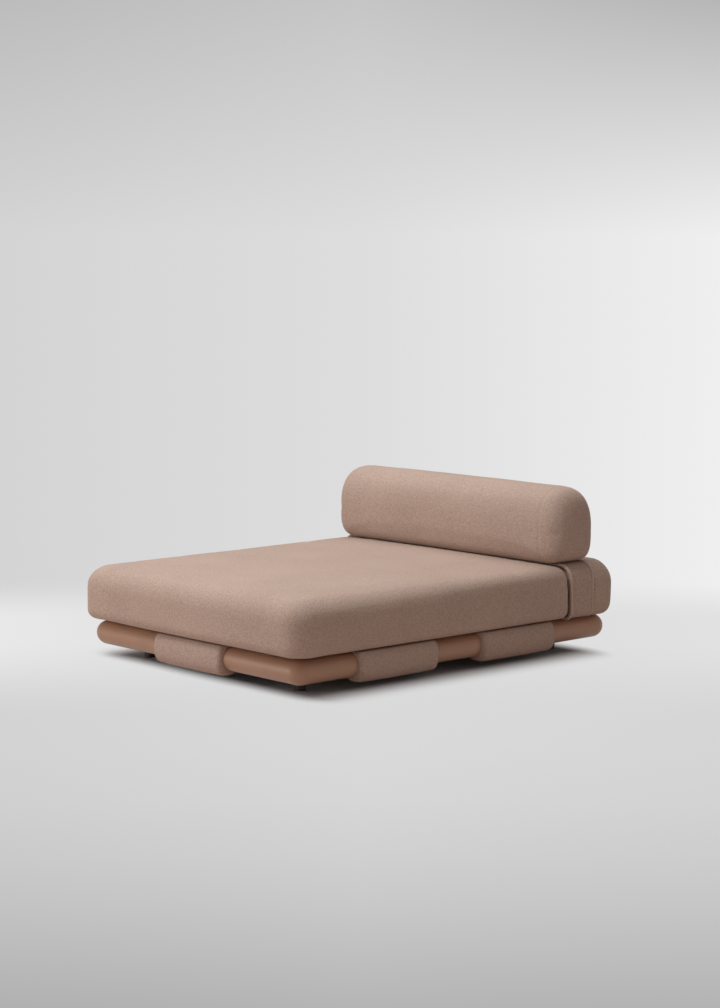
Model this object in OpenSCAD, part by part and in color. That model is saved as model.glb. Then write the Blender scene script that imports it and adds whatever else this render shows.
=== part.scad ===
// Modular daybed: a round-edged rail frame on short turned feet, a slatted deck, a thick seat
// cushion, a separate head cushion held by a wide band, a long back bolster that rests on it,
// and padded straps wrapped round the rails. Millimetres, Z up, foot end towards -Y.
// The origin is at floor level under the middle of the overall outline.

/* [Overall] */
// Length over the cushions, from the foot end to the head end
overall_l = 2000; // [1850:5:2150]
// Gap between the floor and the underside of the rails
floor_gap = 60; // [45:1:90]
// Clearance kept between soft pieces and the parts that they lift off or slide over
soft_gap = 0.3; // [0.2:0.1:1]

/* [Rail frame] */
// How far the head cushion stands out past the head rail
head_overhang = 28; // [10:1:50]
// Width of the rail frame along X
rail_wid = 1484; // [1200:2:1700]
// How far the seat cushion stands out past the foot rail
foot_overhang = 44; // [20:1:60]
// Height of a rail, which is also the diameter of its rounded outer side
rail_h = 110; // [90:2:130]
// Depth of a rail from its rounded outer side to its inner wall
rail_d = 85; // [70:1:110]
// Outer radius of the frame's rounded corners, seen from above
corner_r = 65; // [60:1:80]
// Wall thickness of the hollow rail
rail_wall = 4; // [2.5:0.5:6]
// How far the slat ledge stands out from the inner wall
lip_w = 30; // [20:1:45]
// Thickness of the slat ledge
lip_t = 5; // [3:0.5:8]

/* [Corner joints] */
// Length of each arm of a corner bracket, from the outer corner
bracket_l = 140; // [132:1:146]
// Thickness of a bracket arm
bracket_t = 30; // [20:1:34]
// Height of a bracket
bracket_h = 80; // [60:1:90]
// Radius of the frame bolts
bolt_r = 4; // [3:0.5:5]
// Radius of a bolt head
bolt_head_r = 7; // [6:0.5:9]
// Height of a bolt head
bolt_head_h = 4; // [3:0.5:6]
// Distance of the corner bolts from the outer corner
bolt_p1 = 110; // [104:1:118]
// Spacing between the two bolts of one bracket arm, one above the other
bolt_pitch = 40; // [30:1:50]

/* [Beams] */
// Depth of a cross beam along Y
beam_w = 60; // [40:2:80]
// Height of a cross beam
beam_h = 40; // [30:2:46]
// Wall thickness of the beams
beam_wall = 3; // [2:0.5:4]
// Thickness of the plates welded at the ends of a cross beam and over each foot
plate_t = 5; // [4:0.5:8]
// Width of the middle beam that carries the slats
spine_w = 50; // [40:2:70]
// Gap between each end of the middle beam and the inner wall of the rail it points at
spine_gap = 35; // [32:1:60]
// Radius of the plate welded under a beam for its foot
foot_plate_r = 40; // [32:1:50]

/* [Slats] */
// Number of slats
slat_n = 10; // [8:1:10]
// Width of a slat
slat_w = 90; // [60:2:110]
// Thickness of a slat
slat_t = 18; // [12:1:22]
// How far the slats stand above the rails, which leaves room for the straps
deck_rise = 5; // [4:0.5:10]
// Distance of the first and last slat centres from the inner walls of the end rails
slat_edge = 62; // [50:1:90]
// Free gap at each end of a slat
slat_play = 2; // [1:0.5:4]
// Radius of a slat screw
screw_r = 2; // [1.5:0.25:3]
// Radius of a slat screw's countersunk head
screw_head_r = 4; // [3:0.25:5]

/* [Feet] */
// Distance of a corner foot from the outer side of the long rails
foot_in_x = 205; // [150:5:260]
// Distance of a corner foot from the outer side of the end rails
foot_in_y = 185; // [150:5:260]
// Radius of a foot at the top
foot_r_top = 26; // [20:0.5:34]
// Radius of a foot at the floor
foot_r_bot = 24; // [20:0.5:32]
// Bevel round the top and bottom of a foot
foot_bevel = 2; // [1:0.5:4]
// Radius of the threaded bar that joins a foot to its beam
hanger_r = 5; // [4:0.5:6]
// Radius of the levelling pad
pad_r = 16; // [14:0.5:20]
// Height of the levelling pad
pad_h = 7.5; // [6:0.5:10]
// Height of the pad above the floor while it is wound right in
pad_lift = 0.5; // [0.3:0.1:2]
// Radius of the levelling stud
stud_r = 4; // [3:0.5:5]
// Radial clearance of the levelling stud in its sleeve and in its pad
stud_fit = 0.05; // [0.03:0.01:0.08]
// Length of the threaded sleeve pressed into a foot
sleeve_l = 20; // [14:1:24]
// Outer radius of that sleeve
sleeve_r = 6; // [5:0.5:8]

/* [Straps] */
// Width of the straps on the end rails
strap_end_w = 480; // [300:5:600]
// Free length that a side strap leaves in its bay between two beams, both sides together
strap_bay_gap = 215; // [120:5:330]
// Distance from the foot beam's end plates to the first side strap
strap_lead_1 = 105; // [20:1:110]
// Distance from the middle beam's end plates to the second side strap
strap_lead_2 = 67; // [20:1:110]
// Padded thickness of a strap on the outside of a rail
strap_t = 25; // [12:1:32]
// Thickness of a strap where it lies between a rail and a cushion
strap_flat_t = 4.7; // [3:0.1:6]
// Height above the underside of the rail at which a strap ends on the inner wall
strap_in_h = 80; // [40:1:88]

/* [Seat cushion] */
// Width of the seat cushion
seat_w = 1572; // [1300:2:1700]
// Length of deck that the head cushion and its band take up
head_l = 335; // [250:1:450]
// Height of the seat cushion's crown above its underside
seat_h = 264; // [180:2:300]
// Radius of the rounding along its top edges
seat_rt = 92; // [50:2:120]
// Radius of the rounding along its bottom edges
seat_rb = 44; // [20:1:60]
// Radius of its upright corners
seat_rc = 98; // [70:1:120]
// How far the crown stands above the rounded edges
seat_crown = 9; // [0:1:30]
// How far the sides draw in between the middle of a side and its corners
seat_draw = 5; // [0:0.5:12]
// Radius of the upright corners at its rear end, which stands against the band
seat_rear_r = 16; // [8:1:40]

/* [Head cushion and band] */
// Gap between the seat cushion and the band in front of the head cushion
head_split = 5; // [3:0.5:12]
// Thickness of the band
band_t = 11; // [6:0.5:18]
// Thickness of the padded hem along the front edge of the band
hem_t = 15; // [8:0.5:24]
// Width of the band along Y
band_w = 154; // [120:2:220]
// How far the front edge of the band leans forward at the top
band_lean = 34; // [0:1:50]
// How far the band stands out past each side of the seat cushion
band_proud = 1; // [0:0.5:6]
// How far the top of the band stands above the rounded edges of the seat cushion
band_step = 3; // [0:0.5:8]
// Radius of the rounding along the top edges of the head cushion
head_rt = 84; // [50:2:110]
// Radius of the rounding along its bottom edges
head_rb = 34; // [20:1:70]
// Length over which its rear end rounds off
head_end = 74; // [40:1:110]
// How far the rear end rounds off from above and below
head_end_z = 88; // [40:1:110]
// How far it swells out behind the band
head_swell = 10.5; // [0:0.5:14]
// How far its underside rises behind the band
head_rise = 14; // [0:1:30]
// Clearance all round it inside the band
wrap_gap = 0.3; // [0.1:0.1:1]

/* [Back bolster] */
// Length of the bolster
bol_l = 1500; // [1200:2:1700]
// Depth of the bolster
bol_d = 308; // [240:2:360]
// Height of the bolster
bol_h = 354; // [260:2:400]
// Height of the widest part of the bolster above its underside
bol_wide = 150; // [110:2:190]
// Distance from the head end of the cushions to the middle of the bolster
bol_back = 281; // [200:1:320]
// Length over which each end of the bolster rounds off
bol_end = 74; // [40:1:110]
// Depth by which the underside is flattened where it rests
bol_flat = 12; // [0:1:30]

/* [Zips] */
// Height of a zip tape
zip_h = 9; // [6:0.5:14]
// Thickness of a zip tape with its teeth
zip_t = 2; // [1.5:0.1:3]
// Length of a zip
zip_l = 1000; // [600:10:1200]
// Length of a zip slider along its tape
slider_l = 12; // [8:0.5:16]
// Thickness of a zip slider
slider_t = 2; // [1.5:0.1:3]
// Clearance between a zip slider and its tape
slider_gap = 0.4; // [0.2:0.1:0.8]

/* [Hidden] */
$fn = 64;
rr = rail_h / 2;
rail_z1 = floor_gap + rail_h;
deck_z = rail_z1 + deck_rise;
y_foot = -overall_l / 2 + foot_overhang;
rail_len = overall_l - foot_overhang - head_overhang;
y_head = y_foot + rail_len;
y_mid = (y_foot + y_head) / 2;
hx = rail_wid / 2;
lip_v = rail_h + deck_rise - slat_t;
mitre = rail_d + lip_w;
hollow_p = rr - 5;
corner_step = 0.1;
bracket_v = (rail_h - bracket_h) / 2;
bracket_q = rail_d - rail_wall - bracket_t;
bolt_v = [rr - bolt_pitch / 2, rr + bolt_pitch / 2];
in_x = hx - rail_d;
beam_z0 = floor_gap + plate_t;
beam_z1 = beam_z0 + beam_h;
end_plate_h = 82;
end_plate_w = 96;
beam_bolt_v = 66;
beam_bolt_y = 34;
slat_z0 = deck_z - slat_t;
slat_hx = in_x - slat_play;
screw_x = hx - rail_d - lip_w / 2;
slat_y1 = y_foot + rail_d + slat_edge;
slat_y2 = y_head - rail_d - slat_edge;
recess_r = pad_r + 1.5;
recess_h = pad_lift + pad_h + 1.3;
foot_x = hx - foot_in_x;
foot_y1 = y_foot + foot_in_y;
foot_y2 = y_head - foot_in_y;
stud_z0 = pad_lift + 2.7;
stud_l = 24;
cush_z = deck_z + soft_gap;
seat_y1 = -overall_l / 2;
seat_y2 = overall_l / 2 - head_l - head_split;
band_y1 = seat_y2 + head_split;
band_y2 = band_y1 + band_w;
band_hx = seat_w / 2 + band_proud;
head_hx = band_hx - band_t;
head_z0 = cush_z + band_t;
head_z1 = cush_z + seat_h - seat_crown - band_t + band_step;
head_y1 = band_y1 + 4;
head_y2 = overall_l / 2 - zip_t - slider_gap - slider_t;
band_z1 = head_z1 + band_t;
bol_z0 = band_z1 + soft_gap;
bol_cy = overall_l / 2 - bol_back;
strap_bay = rail_len / 2 - foot_in_y - end_plate_w;
strap_side_w = strap_bay - strap_bay_gap;
strap_mid_1 = foot_in_y + end_plate_w / 2 + strap_lead_1 + strap_side_w / 2;
strap_mid_2 = rail_len / 2 + end_plate_w / 2 + strap_lead_2 + strap_side_w / 2;
strap_mids = [strap_mid_1, strap_mid_2];
zip_z_bol = bol_z0 + bol_wide;
head_zc = (head_z0 + head_z1) / 2;
head_hh = (head_z1 - head_z0) / 2;
zip_z_head = head_zc - (head_hh + head_swell - head_end_z) + zip_h * 1.2;
slider_x0 = -zip_l / 2 + slider_l;

// Colours
c_rail = [0.63, 0.47, 0.38];
c_steel = [0.25, 0.25, 0.26];
c_zinc = [0.75, 0.75, 0.77];
c_slat = [0.80, 0.69, 0.52];
c_foot = [0.20, 0.10, 0.07];
c_fabric = [0.66, 0.54, 0.47];
c_fabric2 = [0.62, 0.50, 0.44];
c_pad = [0.10, 0.10, 0.11];
c_brass = [0.78, 0.62, 0.32];

// Shared placing: local p runs along a rail, q inwards from its outer side, v up
module at_foot_rail() {
  translate([-hx, y_foot, floor_gap]) children();
}
module at_right_rail() {
  translate([hx, y_foot, floor_gap]) rotate([0, 0, 90]) children();
}
module at_head_rail() {
  translate([hx, y_head, floor_gap]) rotate([0, 0, 180]) children();
}
module at_left_rail() {
  translate([-hx, y_head, floor_gap]) rotate([0, 0, 270]) children();
}

// Rails: a half-round outer side, a flat inner side and a ledge for the slats
module half_round(r) {
  intersection() {
    translate([rr, rr]) circle(r = r);
    square([rr, rail_h]);
  }
}
module rail_outline() {
  half_round(rr);
  translate([rr, 0]) square([rail_d - rr, rail_h]);
  translate([rail_d - rail_wall, lip_v - lip_t]) square([rail_wall + lip_w, lip_t]);
}
module rail_hollow() {
  half_round(rr - rail_wall);
  translate([rr, rail_wall]) square([rail_d - rail_wall - rr, rail_h - 2 * rail_wall]);
}
module along_p(l) {
  rotate([90, 0, 90]) linear_extrude(height = l) children();
}
// Half of a frame corner: the rail's own section turned through 45 degrees, set in by a hair's
// breadth so that the corner casting shows as a fine joint line. The turn starts at angle a0.
module rail_corner(a0) {
  d = corner_r - rr;
  translate([corner_r, corner_r, 0]) rotate([0, 0, a0]) rotate_extrude(angle = 45) {
    translate([0, corner_step]) square([d, rail_h - 2 * corner_step]);
    intersection() {
      translate([d, rr]) circle(r = rr - corner_step);
      translate([d, 0]) square([rr, rail_h]);
    }
  }
}
module rail(l, beam_at, screws) {
  difference() {
    union() {
      intersection() {
        translate([corner_r, 0, 0]) along_p(l - 2 * corner_r) rail_outline();
        linear_extrude(height = rail_h) polygon([[0, 0], [l, 0], [l - mitre, mitre], [mitre, mitre]]);
      }
      rail_corner(225);
      translate([l - 2 * corner_r, 0, 0]) rail_corner(270);
    }
    translate([hollow_p, 0, 0]) along_p(l - 2 * hollow_p) rail_hollow();
    for (p = [bolt_p1, l - bolt_p1])
      for (v = bolt_v)
        translate([p, rail_d - rail_wall - 2, v]) rotate([-90, 0, 0]) cylinder(r = bolt_r, h = rail_wall + 4);
    for (c = beam_at)
      for (s = [-1, 1])
        translate([c + s * beam_bolt_y, rail_d - rail_wall - 2, beam_bolt_v])
          rotate([-90, 0, 0]) cylinder(r = bolt_r, h = rail_wall + 4);
    for (p = screws)
      translate([p, rail_d + lip_w / 2, lip_v - lip_t - 1]) cylinder(r = screw_r, h = lip_t + 2, $fn = 24);
  }
}
function slat_y(i) = slat_y1 + i * (slat_y2 - slat_y1) / (slat_n - 1);
beams_y = [foot_y1, y_mid, foot_y2];

module rail_foot() {
  color(c_rail) at_foot_rail() rail(rail_wid, [], []);
}
module rail_head() {
  color(c_rail) at_head_rail() rail(rail_wid, [], []);
}
module rail_right() {
  color(c_rail) at_right_rail()
    rail(rail_len, [for (y = beams_y) y - y_foot], [for (i = [0:slat_n - 1]) slat_y(i) - y_foot]);
}
module rail_left() {
  color(c_rail) at_left_rail()
    rail(rail_len, [for (y = beams_y) y_head - y], [for (i = [0:slat_n - 1]) y_head - slat_y(i)]);
}

// Corner brackets inside the hollow rails, and their bolts
module corner_bracket() {
  difference() {
    union() {
      translate([bracket_q, bracket_q, bracket_v]) cube([bracket_l - bracket_q, bracket_t, bracket_h]);
      translate([bracket_q, bracket_q, bracket_v]) cube([bracket_t, bracket_l - bracket_q, bracket_h]);
    }
    for (v = bolt_v) {
      translate([bolt_p1, rail_d - 22, v]) rotate([-90, 0, 0]) cylinder(r = bolt_r, h = 40);
      translate([rail_d - 22, bolt_p1, v]) rotate([0, 90, 0]) cylinder(r = bolt_r, h = 40);
    }
  }
}
module bolt_in(l) {
  rotate([90, 0, 0]) cylinder(r = bolt_r, h = l);
  rotate([-90, 0, 0]) cylinder(r = bolt_head_r, h = bolt_head_h);
}
module corner_bolt_set() {
  for (v = bolt_v) {
    translate([bolt_p1, rail_d, v]) bolt_in(22);
    translate([rail_d, bolt_p1, v]) rotate([0, 0, -90]) bolt_in(22);
  }
}
module corner_bolts() {
  color(c_zinc) {
    at_foot_rail() corner_bolt_set();
    at_right_rail() corner_bolt_set();
    at_head_rail() corner_bolt_set();
    at_left_rail() corner_bolt_set();
  }
}

// Cross beams, with the plates welded at their ends and over each foot
module cross_beam(y, feet_x) {
  l = 2 * (in_x - plate_t);
  color(c_steel) translate([0, y, 0]) difference() {
    translate([-l / 2, -beam_w / 2, beam_z0]) cube([l, beam_w, beam_h]);
    translate([-l / 2 - 1, -beam_w / 2 + beam_wall, beam_z0 + beam_wall])
      cube([l + 2, beam_w - 2 * beam_wall, beam_h - 2 * beam_wall]);
    for (x = feet_x)
      translate([x, 0, beam_z0 - 1]) cylinder(r = hanger_r, h = beam_wall + 2);
  }
}
module beam_end_plates() {
  color(c_steel) for (y = beams_y)
    for (s = [-1, 1])
      translate([s > 0 ? in_x - plate_t : -in_x, y, 0]) difference() {
        translate([0, -end_plate_w / 2, beam_z0]) cube([plate_t, end_plate_w, end_plate_h]);
        for (t = [-1, 1])
          translate([-1, t * beam_bolt_y, floor_gap + beam_bolt_v])
            rotate([0, 90, 0]) cylinder(r = bolt_r, h = plate_t + 2);
      }
}
module foot_plates() {
  color(c_steel) for (f = feet_at)
    translate([f[0], f[1], floor_gap]) difference() {
      cylinder(r = foot_plate_r, h = plate_t);
      translate([0, 0, -1]) cylinder(r = hanger_r, h = plate_t + 2);
    }
}
module beam_bolts() {
  color(c_zinc) for (y = beams_y)
    for (s = [-1, 1])
      for (t = [-1, 1])
        translate([s * (in_x - plate_t), y + t * beam_bolt_y, floor_gap + beam_bolt_v])
          rotate([0, 0, s > 0 ? 90 : -90]) bolt_in(16);
}
module spine_beam() {
  l = rail_len - 2 * (rail_d + spine_gap);
  color(c_steel) difference() {
    translate([-spine_w / 2, y_mid - l / 2, beam_z1]) cube([spine_w, l, slat_z0 - beam_z1]);
    translate([-spine_w / 2 + beam_wall, y_mid - l / 2 + beam_wall, beam_z1 + beam_wall])
      cube([spine_w - 2 * beam_wall, l - 2 * beam_wall, slat_z0 - beam_z1 - 2 * beam_wall]);
  }
}

// Slats
module slat(i) {
  color(c_slat) translate([0, slat_y(i), slat_z0]) difference() {
    translate([-slat_hx, -slat_w / 2, 0]) cube([2 * slat_hx, slat_w, slat_t]);
    for (s = [-1, 1]) {
      translate([s * screw_x, 0, -1]) cylinder(r = screw_r, h = slat_t + 2, $fn = 24);
      translate([s * screw_x, 0, slat_t - 2]) cylinder(r1 = screw_r, r2 = screw_head_r, h = 2, $fn = 24);
    }
  }
}
module slat_screws() {
  color(c_zinc) for (i = [0:slat_n - 1])
    for (s = [-1, 1])
      translate([s * screw_x, slat_y(i), slat_z0]) {
        translate([0, 0, -lip_t - 2]) cylinder(r = screw_r, h = lip_t + slat_t, $fn = 24);
        translate([0, 0, slat_t - 2]) cylinder(r1 = screw_r, r2 = screw_head_r, h = 2, $fn = 24);
      }
}

// Feet, their sleeves, hangers, levelling pads and studs
feet_at = [
  [-foot_x, foot_y1], [foot_x, foot_y1], [foot_x, foot_y2], [-foot_x, foot_y2], [0, y_mid]
];
module foot(i) {
  color(c_foot) translate([feet_at[i][0], feet_at[i][1], 0]) rotate_extrude() polygon([
    [recess_r, 0], [foot_r_bot - foot_bevel, 0], [foot_r_bot, foot_bevel],
    [foot_r_top, floor_gap - foot_bevel], [foot_r_top - foot_bevel, floor_gap],
    [hanger_r, floor_gap], [hanger_r, recess_h + sleeve_l + 6], [stud_r + 0.5, recess_h + sleeve_l + 6],
    [stud_r + 0.5, recess_h + sleeve_l], [sleeve_r, recess_h + sleeve_l], [sleeve_r, recess_h],
    [recess_r, recess_h]
  ]);
}
module foot_sleeves() {
  color(c_brass) for (f = feet_at)
    translate([f[0], f[1], 0]) rotate_extrude() polygon([
      [stud_r + stud_fit, recess_h], [sleeve_r, recess_h], [sleeve_r, recess_h + sleeve_l],
      [stud_r + stud_fit, recess_h + sleeve_l]
    ]);
}
module foot_hangers() {
  color(c_zinc) for (f = feet_at)
    translate([f[0], f[1], recess_h + sleeve_l + 6])
      cylinder(r = hanger_r, h = beam_z0 + beam_wall + 6 - recess_h - sleeve_l - 6);
}
module level_pad(i) {
  color(c_pad) translate([feet_at[i][0], feet_at[i][1], pad_lift]) rotate_extrude() polygon([
    [0, 0], [pad_r - 1, 0], [pad_r, 1], [pad_r, 3.5], [9, pad_h], [stud_r + stud_fit, pad_h],
    [stud_r + stud_fit, 2.5], [0, 2.5]
  ]);
}
module level_stud(i) {
  color(c_zinc) translate([feet_at[i][0], feet_at[i][1], stud_z0]) cylinder(r = stud_r, h = stud_l);
}

// Padded straps: an open loop over, round and under a rail
arc_n = 10;
arc_da = 180 / arc_n;
arc_r = rr / cos(arc_da / 2);
strap_path = concat(
  [[rail_d - 2, rail_h], [(rail_d + rr) / 2, rail_h], [rr, rail_h]],
  [for (k = [0:arc_n - 1]) let (a = 90 + arc_da * (k + 0.5)) [rr + arc_r * cos(a), rr + arc_r * sin(a)]],
  [[rr, 0], [rail_d, 0], [rail_d, strap_in_h / 2], [rail_d, strap_in_h]]
);
strap_dir = concat(
  [[0, 1], [0, 1], [0, 1]],
  [for (k = [0:arc_n - 1]) let (a = 90 + arc_da * (k + 0.5)) [cos(a), sin(a)]],
  [[0, -1], [0.8, -0.8], [1, 0], [1, 0]]
);
strap_thick = concat(
  [strap_flat_t, strap_flat_t, strap_flat_t, strap_flat_t + 0.2, strap_t * 0.36, strap_t * 0.84],
  [for (k = [3:arc_n - 2]) strap_t],
  [strap_t * 0.88, strap_t * 0.7, strap_t * 0.36, strap_t * 0.3, strap_t * 0.2]
);
strap_edge = [[0, 0.34], [strap_t * 0.24, 0.78], [strap_t * 0.96, 1]];
module strap(mid, w) {
  n = len(strap_path);
  st = concat(
    [for (e = strap_edge) [mid - w / 2 + e[0], e[1]]],
    [for (j = [2:-1:0]) [mid + w / 2 - strap_edge[j][0], strap_edge[j][1]]]
  );
  m = len(st);
  inner = [for (s = st) for (k = [0:n - 1]) [s[0], strap_path[k][0], strap_path[k][1]]];
  outer = [for (s = st) for (k = [0:n - 1]) [
    s[0],
    strap_path[k][0] + strap_dir[k][0] * max(strap_thick[k] * s[1], min(strap_flat_t, strap_thick[k])),
    strap_path[k][1] + strap_dir[k][1] * max(strap_thick[k] * s[1], min(strap_flat_t, strap_thick[k]))
  ]];
  o = m * n;
  faces = concat(
    [for (i = [0:m - 2]) for (k = [0:n - 2]) [i * n + k, i * n + k + 1, (i + 1) * n + k + 1]],
    [for (i = [0:m - 2]) for (k = [0:n - 2]) [i * n + k, (i + 1) * n + k + 1, (i + 1) * n + k]],
    [for (i = [0:m - 2]) for (k = [0:n - 2]) [o + i * n + k, o + (i + 1) * n + k + 1, o + i * n + k + 1]],
    [for (i = [0:m - 2]) for (k = [0:n - 2]) [o + i * n + k, o + (i + 1) * n + k, o + (i + 1) * n + k + 1]],
    [for (k = [0:n - 2]) [k, o + k, o + k + 1]],
    [for (k = [0:n - 2]) [k, o + k + 1, k + 1]],
    [for (k = [0:n - 2]) let (b = (m - 1) * n) [b + k, o + b + k + 1, o + b + k]],
    [for (k = [0:n - 2]) let (b = (m - 1) * n) [b + k, b + k + 1, o + b + k + 1]],
    [for (i = [0:m - 2]) [i * n, (i + 1) * n, o + (i + 1) * n]],
    [for (i = [0:m - 2]) [i * n, o + (i + 1) * n, o + i * n]],
    [for (i = [0:m - 2]) let (e = n - 1) [i * n + e, o + (i + 1) * n + e, (i + 1) * n + e]],
    [for (i = [0:m - 2]) let (e = n - 1) [i * n + e, o + i * n + e, o + (i + 1) * n + e]]
  );
  polyhedron(points = concat(inner, outer), faces = faces, convexity = 6);
}
module strap_foot() {
  color(c_fabric2) at_foot_rail() strap(rail_wid / 2, strap_end_w);
}
module strap_head() {
  color(c_fabric2) at_head_rail() strap(rail_wid / 2, strap_end_w);
}
module strap_right(i) {
  color(c_fabric2) at_right_rail() strap(strap_mids[i], strap_side_w);
}
module strap_left(i) {
  color(c_fabric2) at_left_rail() strap(rail_len - strap_mids[i], strap_side_w);
}

// Stacked closed rings make each cushion: every ring has the same number of points
module rings(rg, lo, hi) {
  m = len(rg);
  n = len(rg[0]);
  pts = concat([for (r = rg) for (p = r) p], [lo, hi]);
  faces = concat(
    [for (i = [0:m - 2]) for (k = [0:n - 1]) [i * n + k, (i + 1) * n + k, (i + 1) * n + (k + 1) % n]],
    [for (i = [0:m - 2]) for (k = [0:n - 1]) [i * n + k, (i + 1) * n + (k + 1) % n, i * n + (k + 1) % n]],
    [for (k = [0:n - 1]) [m * n, k, (k + 1) % n]],
    [for (k = [0:n - 1]) [m * n + 1, (m - 1) * n + (k + 1) % n, (m - 1) * n + k]]
  );
  polyhedron(points = pts, faces = faces, convexity = 4);
}
// One ring: a rounded rectangle whose sides draw in towards its corners
function corner_pt(cx, cy, r, a) = [cx + r * cos(a), cy + r * sin(a)];
function lerp(a, b, t) = a + (b - a) * t;
function drawn(p, xh, ym, yh, d) = let (rear = p[1] > ym) [
  p[0] * (1 - (rear ? 0.4 : 1) * d / xh * pow((p[1] - ym) / yh, 2)),
  rear ? p[1] : ym + (p[1] - ym) * (1 - d / yh * pow(p[0] / xh, 2))
];
function plan_ring(xh, y1, y2, rf, rb, z, nc, nx, ny, d) =
  let (
    ym = (y1 + y2) / 2,
    yh = (y2 - y1) / 2,
    c = [[xh - rb, y2 - rb, rb], [-xh + rb, y2 - rb, rb], [-xh + rf, y1 + rf, rf], [xh - rf, y1 + rf, rf]],
    flat = [for (q = [0:3]) let (
        s = q % 2 == 0 ? nx : ny,
        e = corner_pt(c[q][0], c[q][1], c[q][2], 90 * (q + 1)),
        f = corner_pt(c[(q + 1) % 4][0], c[(q + 1) % 4][1], c[(q + 1) % 4][2], 90 * (q + 1))
      )
      each concat(
        [for (j = [0:nc]) corner_pt(c[q][0], c[q][1], c[q][2], 90 * q + 90 * j / nc)],
        [for (j = [1:s]) [lerp(e[0], f[0], j / (s + 1)), lerp(e[1], f[1], j / (s + 1))]]
      )]
  )
  [for (p = flat) let (w = drawn(p, xh, ym, yh, d)) [w[0], w[1], z]];

// Rows of a cushion from its underside up: inset from the widest outline, and height
function cushion_rows(z0, z1, rt, rb, crown, nb, nt, deep) = concat(
  [for (j = [0:nb]) let (a = 90 * j / nb) [rb * (1 - sin(a)), z0 + rb * (1 - cos(a))]],
  [[0, (z0 + rb + z1 - crown - rt) / 2]],
  [for (j = [0:nt]) let (a = 90 * j / nt) [rt * (1 - cos(a)), z1 - crown - rt * (1 - sin(a))]],
  [for (t = deep) [rt + t[0], z1 - crown + crown * t[1]]]
);
seat_rows = cushion_rows(cush_z, cush_z + seat_h, seat_rt, seat_rb, seat_crown, 3, 5,
  [[seat_w * 0.038, 0.32], [seat_w * 0.115, 0.7], [seat_w * 0.242, 0.94]]);
seat_back_in = 0.1;
module seat_cushion() {
  xh = seat_w / 2;
  rg = [for (r = seat_rows) plan_ring(
    xh - r[0], seat_y1 + r[0], seat_y2 + lean(min(r[1], head_z1)) - r[0] * seat_back_in,
    max(seat_rc - r[0] * 0.6, 40), seat_rear_r, r[1], 6, 5, 5, seat_draw)];
  color(c_fabric) rings(rg, [0, (seat_y1 + seat_y2) / 2, cush_z], [0, (seat_y1 + seat_y2) / 2, cush_z + seat_h]);
}
// Band: a closed loop round the head cushion, thicker along its padded front hem
band_pts = 8;
function loop_pt(k, t) =
  let (
    n = 4 * (band_pts + 1),
    q = floor(k / (band_pts + 1)),
    j = k - q * (band_pts + 1),
    r = q < 2 ? head_rt : head_rb,
    sx = q == 0 || q == 3 ? 1 : -1,
    cz = q < 2 ? head_z1 - r : head_z0 + r,
    a = 90 * q + 90 * j / band_pts
  )
  [sx * (head_hx - r) + (r + t) * cos(a), cz + (r + t) * sin(a)];
lean_z = lerp(head_z0, head_z1, 0.38);
function lean(z) = -band_lean * pow(max(0, (z - lean_z) / (head_z1 - lean_z)), 2);
band_st = [
  [0, 0.5], [hem_t * 0.33, 0.86], [hem_t * 0.93, 1], [hem_t * 1.6, 0.92], [hem_t * 2.27, 0.7], [band_w, 0.7]
];

// Head cushion: rings along Y. They follow the band's loop inside it, swell out behind it and
// round off at the rear. Each station holds its place, swell, share of the end's rounding and rise.
head_st = concat(
  [for (j = [6:-1:0]) let (a = 90 * j / 6) [head_y2 - head_end * (1 - sin(a)), head_swell, 1 - cos(a), cos(a)]],
  [[band_y2 + head_swell * 2.4, head_swell, 0, 0.9], [band_y2 + head_swell * 0.9, head_swell * 0.72, 0, 0.5]],
  [[band_y2, -wrap_gap, 0, 0], [head_y1, -wrap_gap, 0, 0]]
);
function head_pt(k, s) = let (p = loop_pt(k, s[1]), low = p[1] < head_zc) [
  p[0] * (1 - s[2] * head_end / (head_hx + s[1])),
  s[0],
  head_zc + (p[1] - head_zc) * (1 - s[2] * head_end_z / (head_hh + s[1]))
    + (low ? s[3] * head_rise * (head_zc - p[1]) / head_hh : 0)
];
module head_cushion() {
  rg = [for (s = head_st) [for (k = [0:4 * band_pts + 3]) head_pt(k, s)]];
  color(c_fabric) rings(rg, [0, head_y2, head_zc], [0, head_y1, head_zc]);
}
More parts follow.
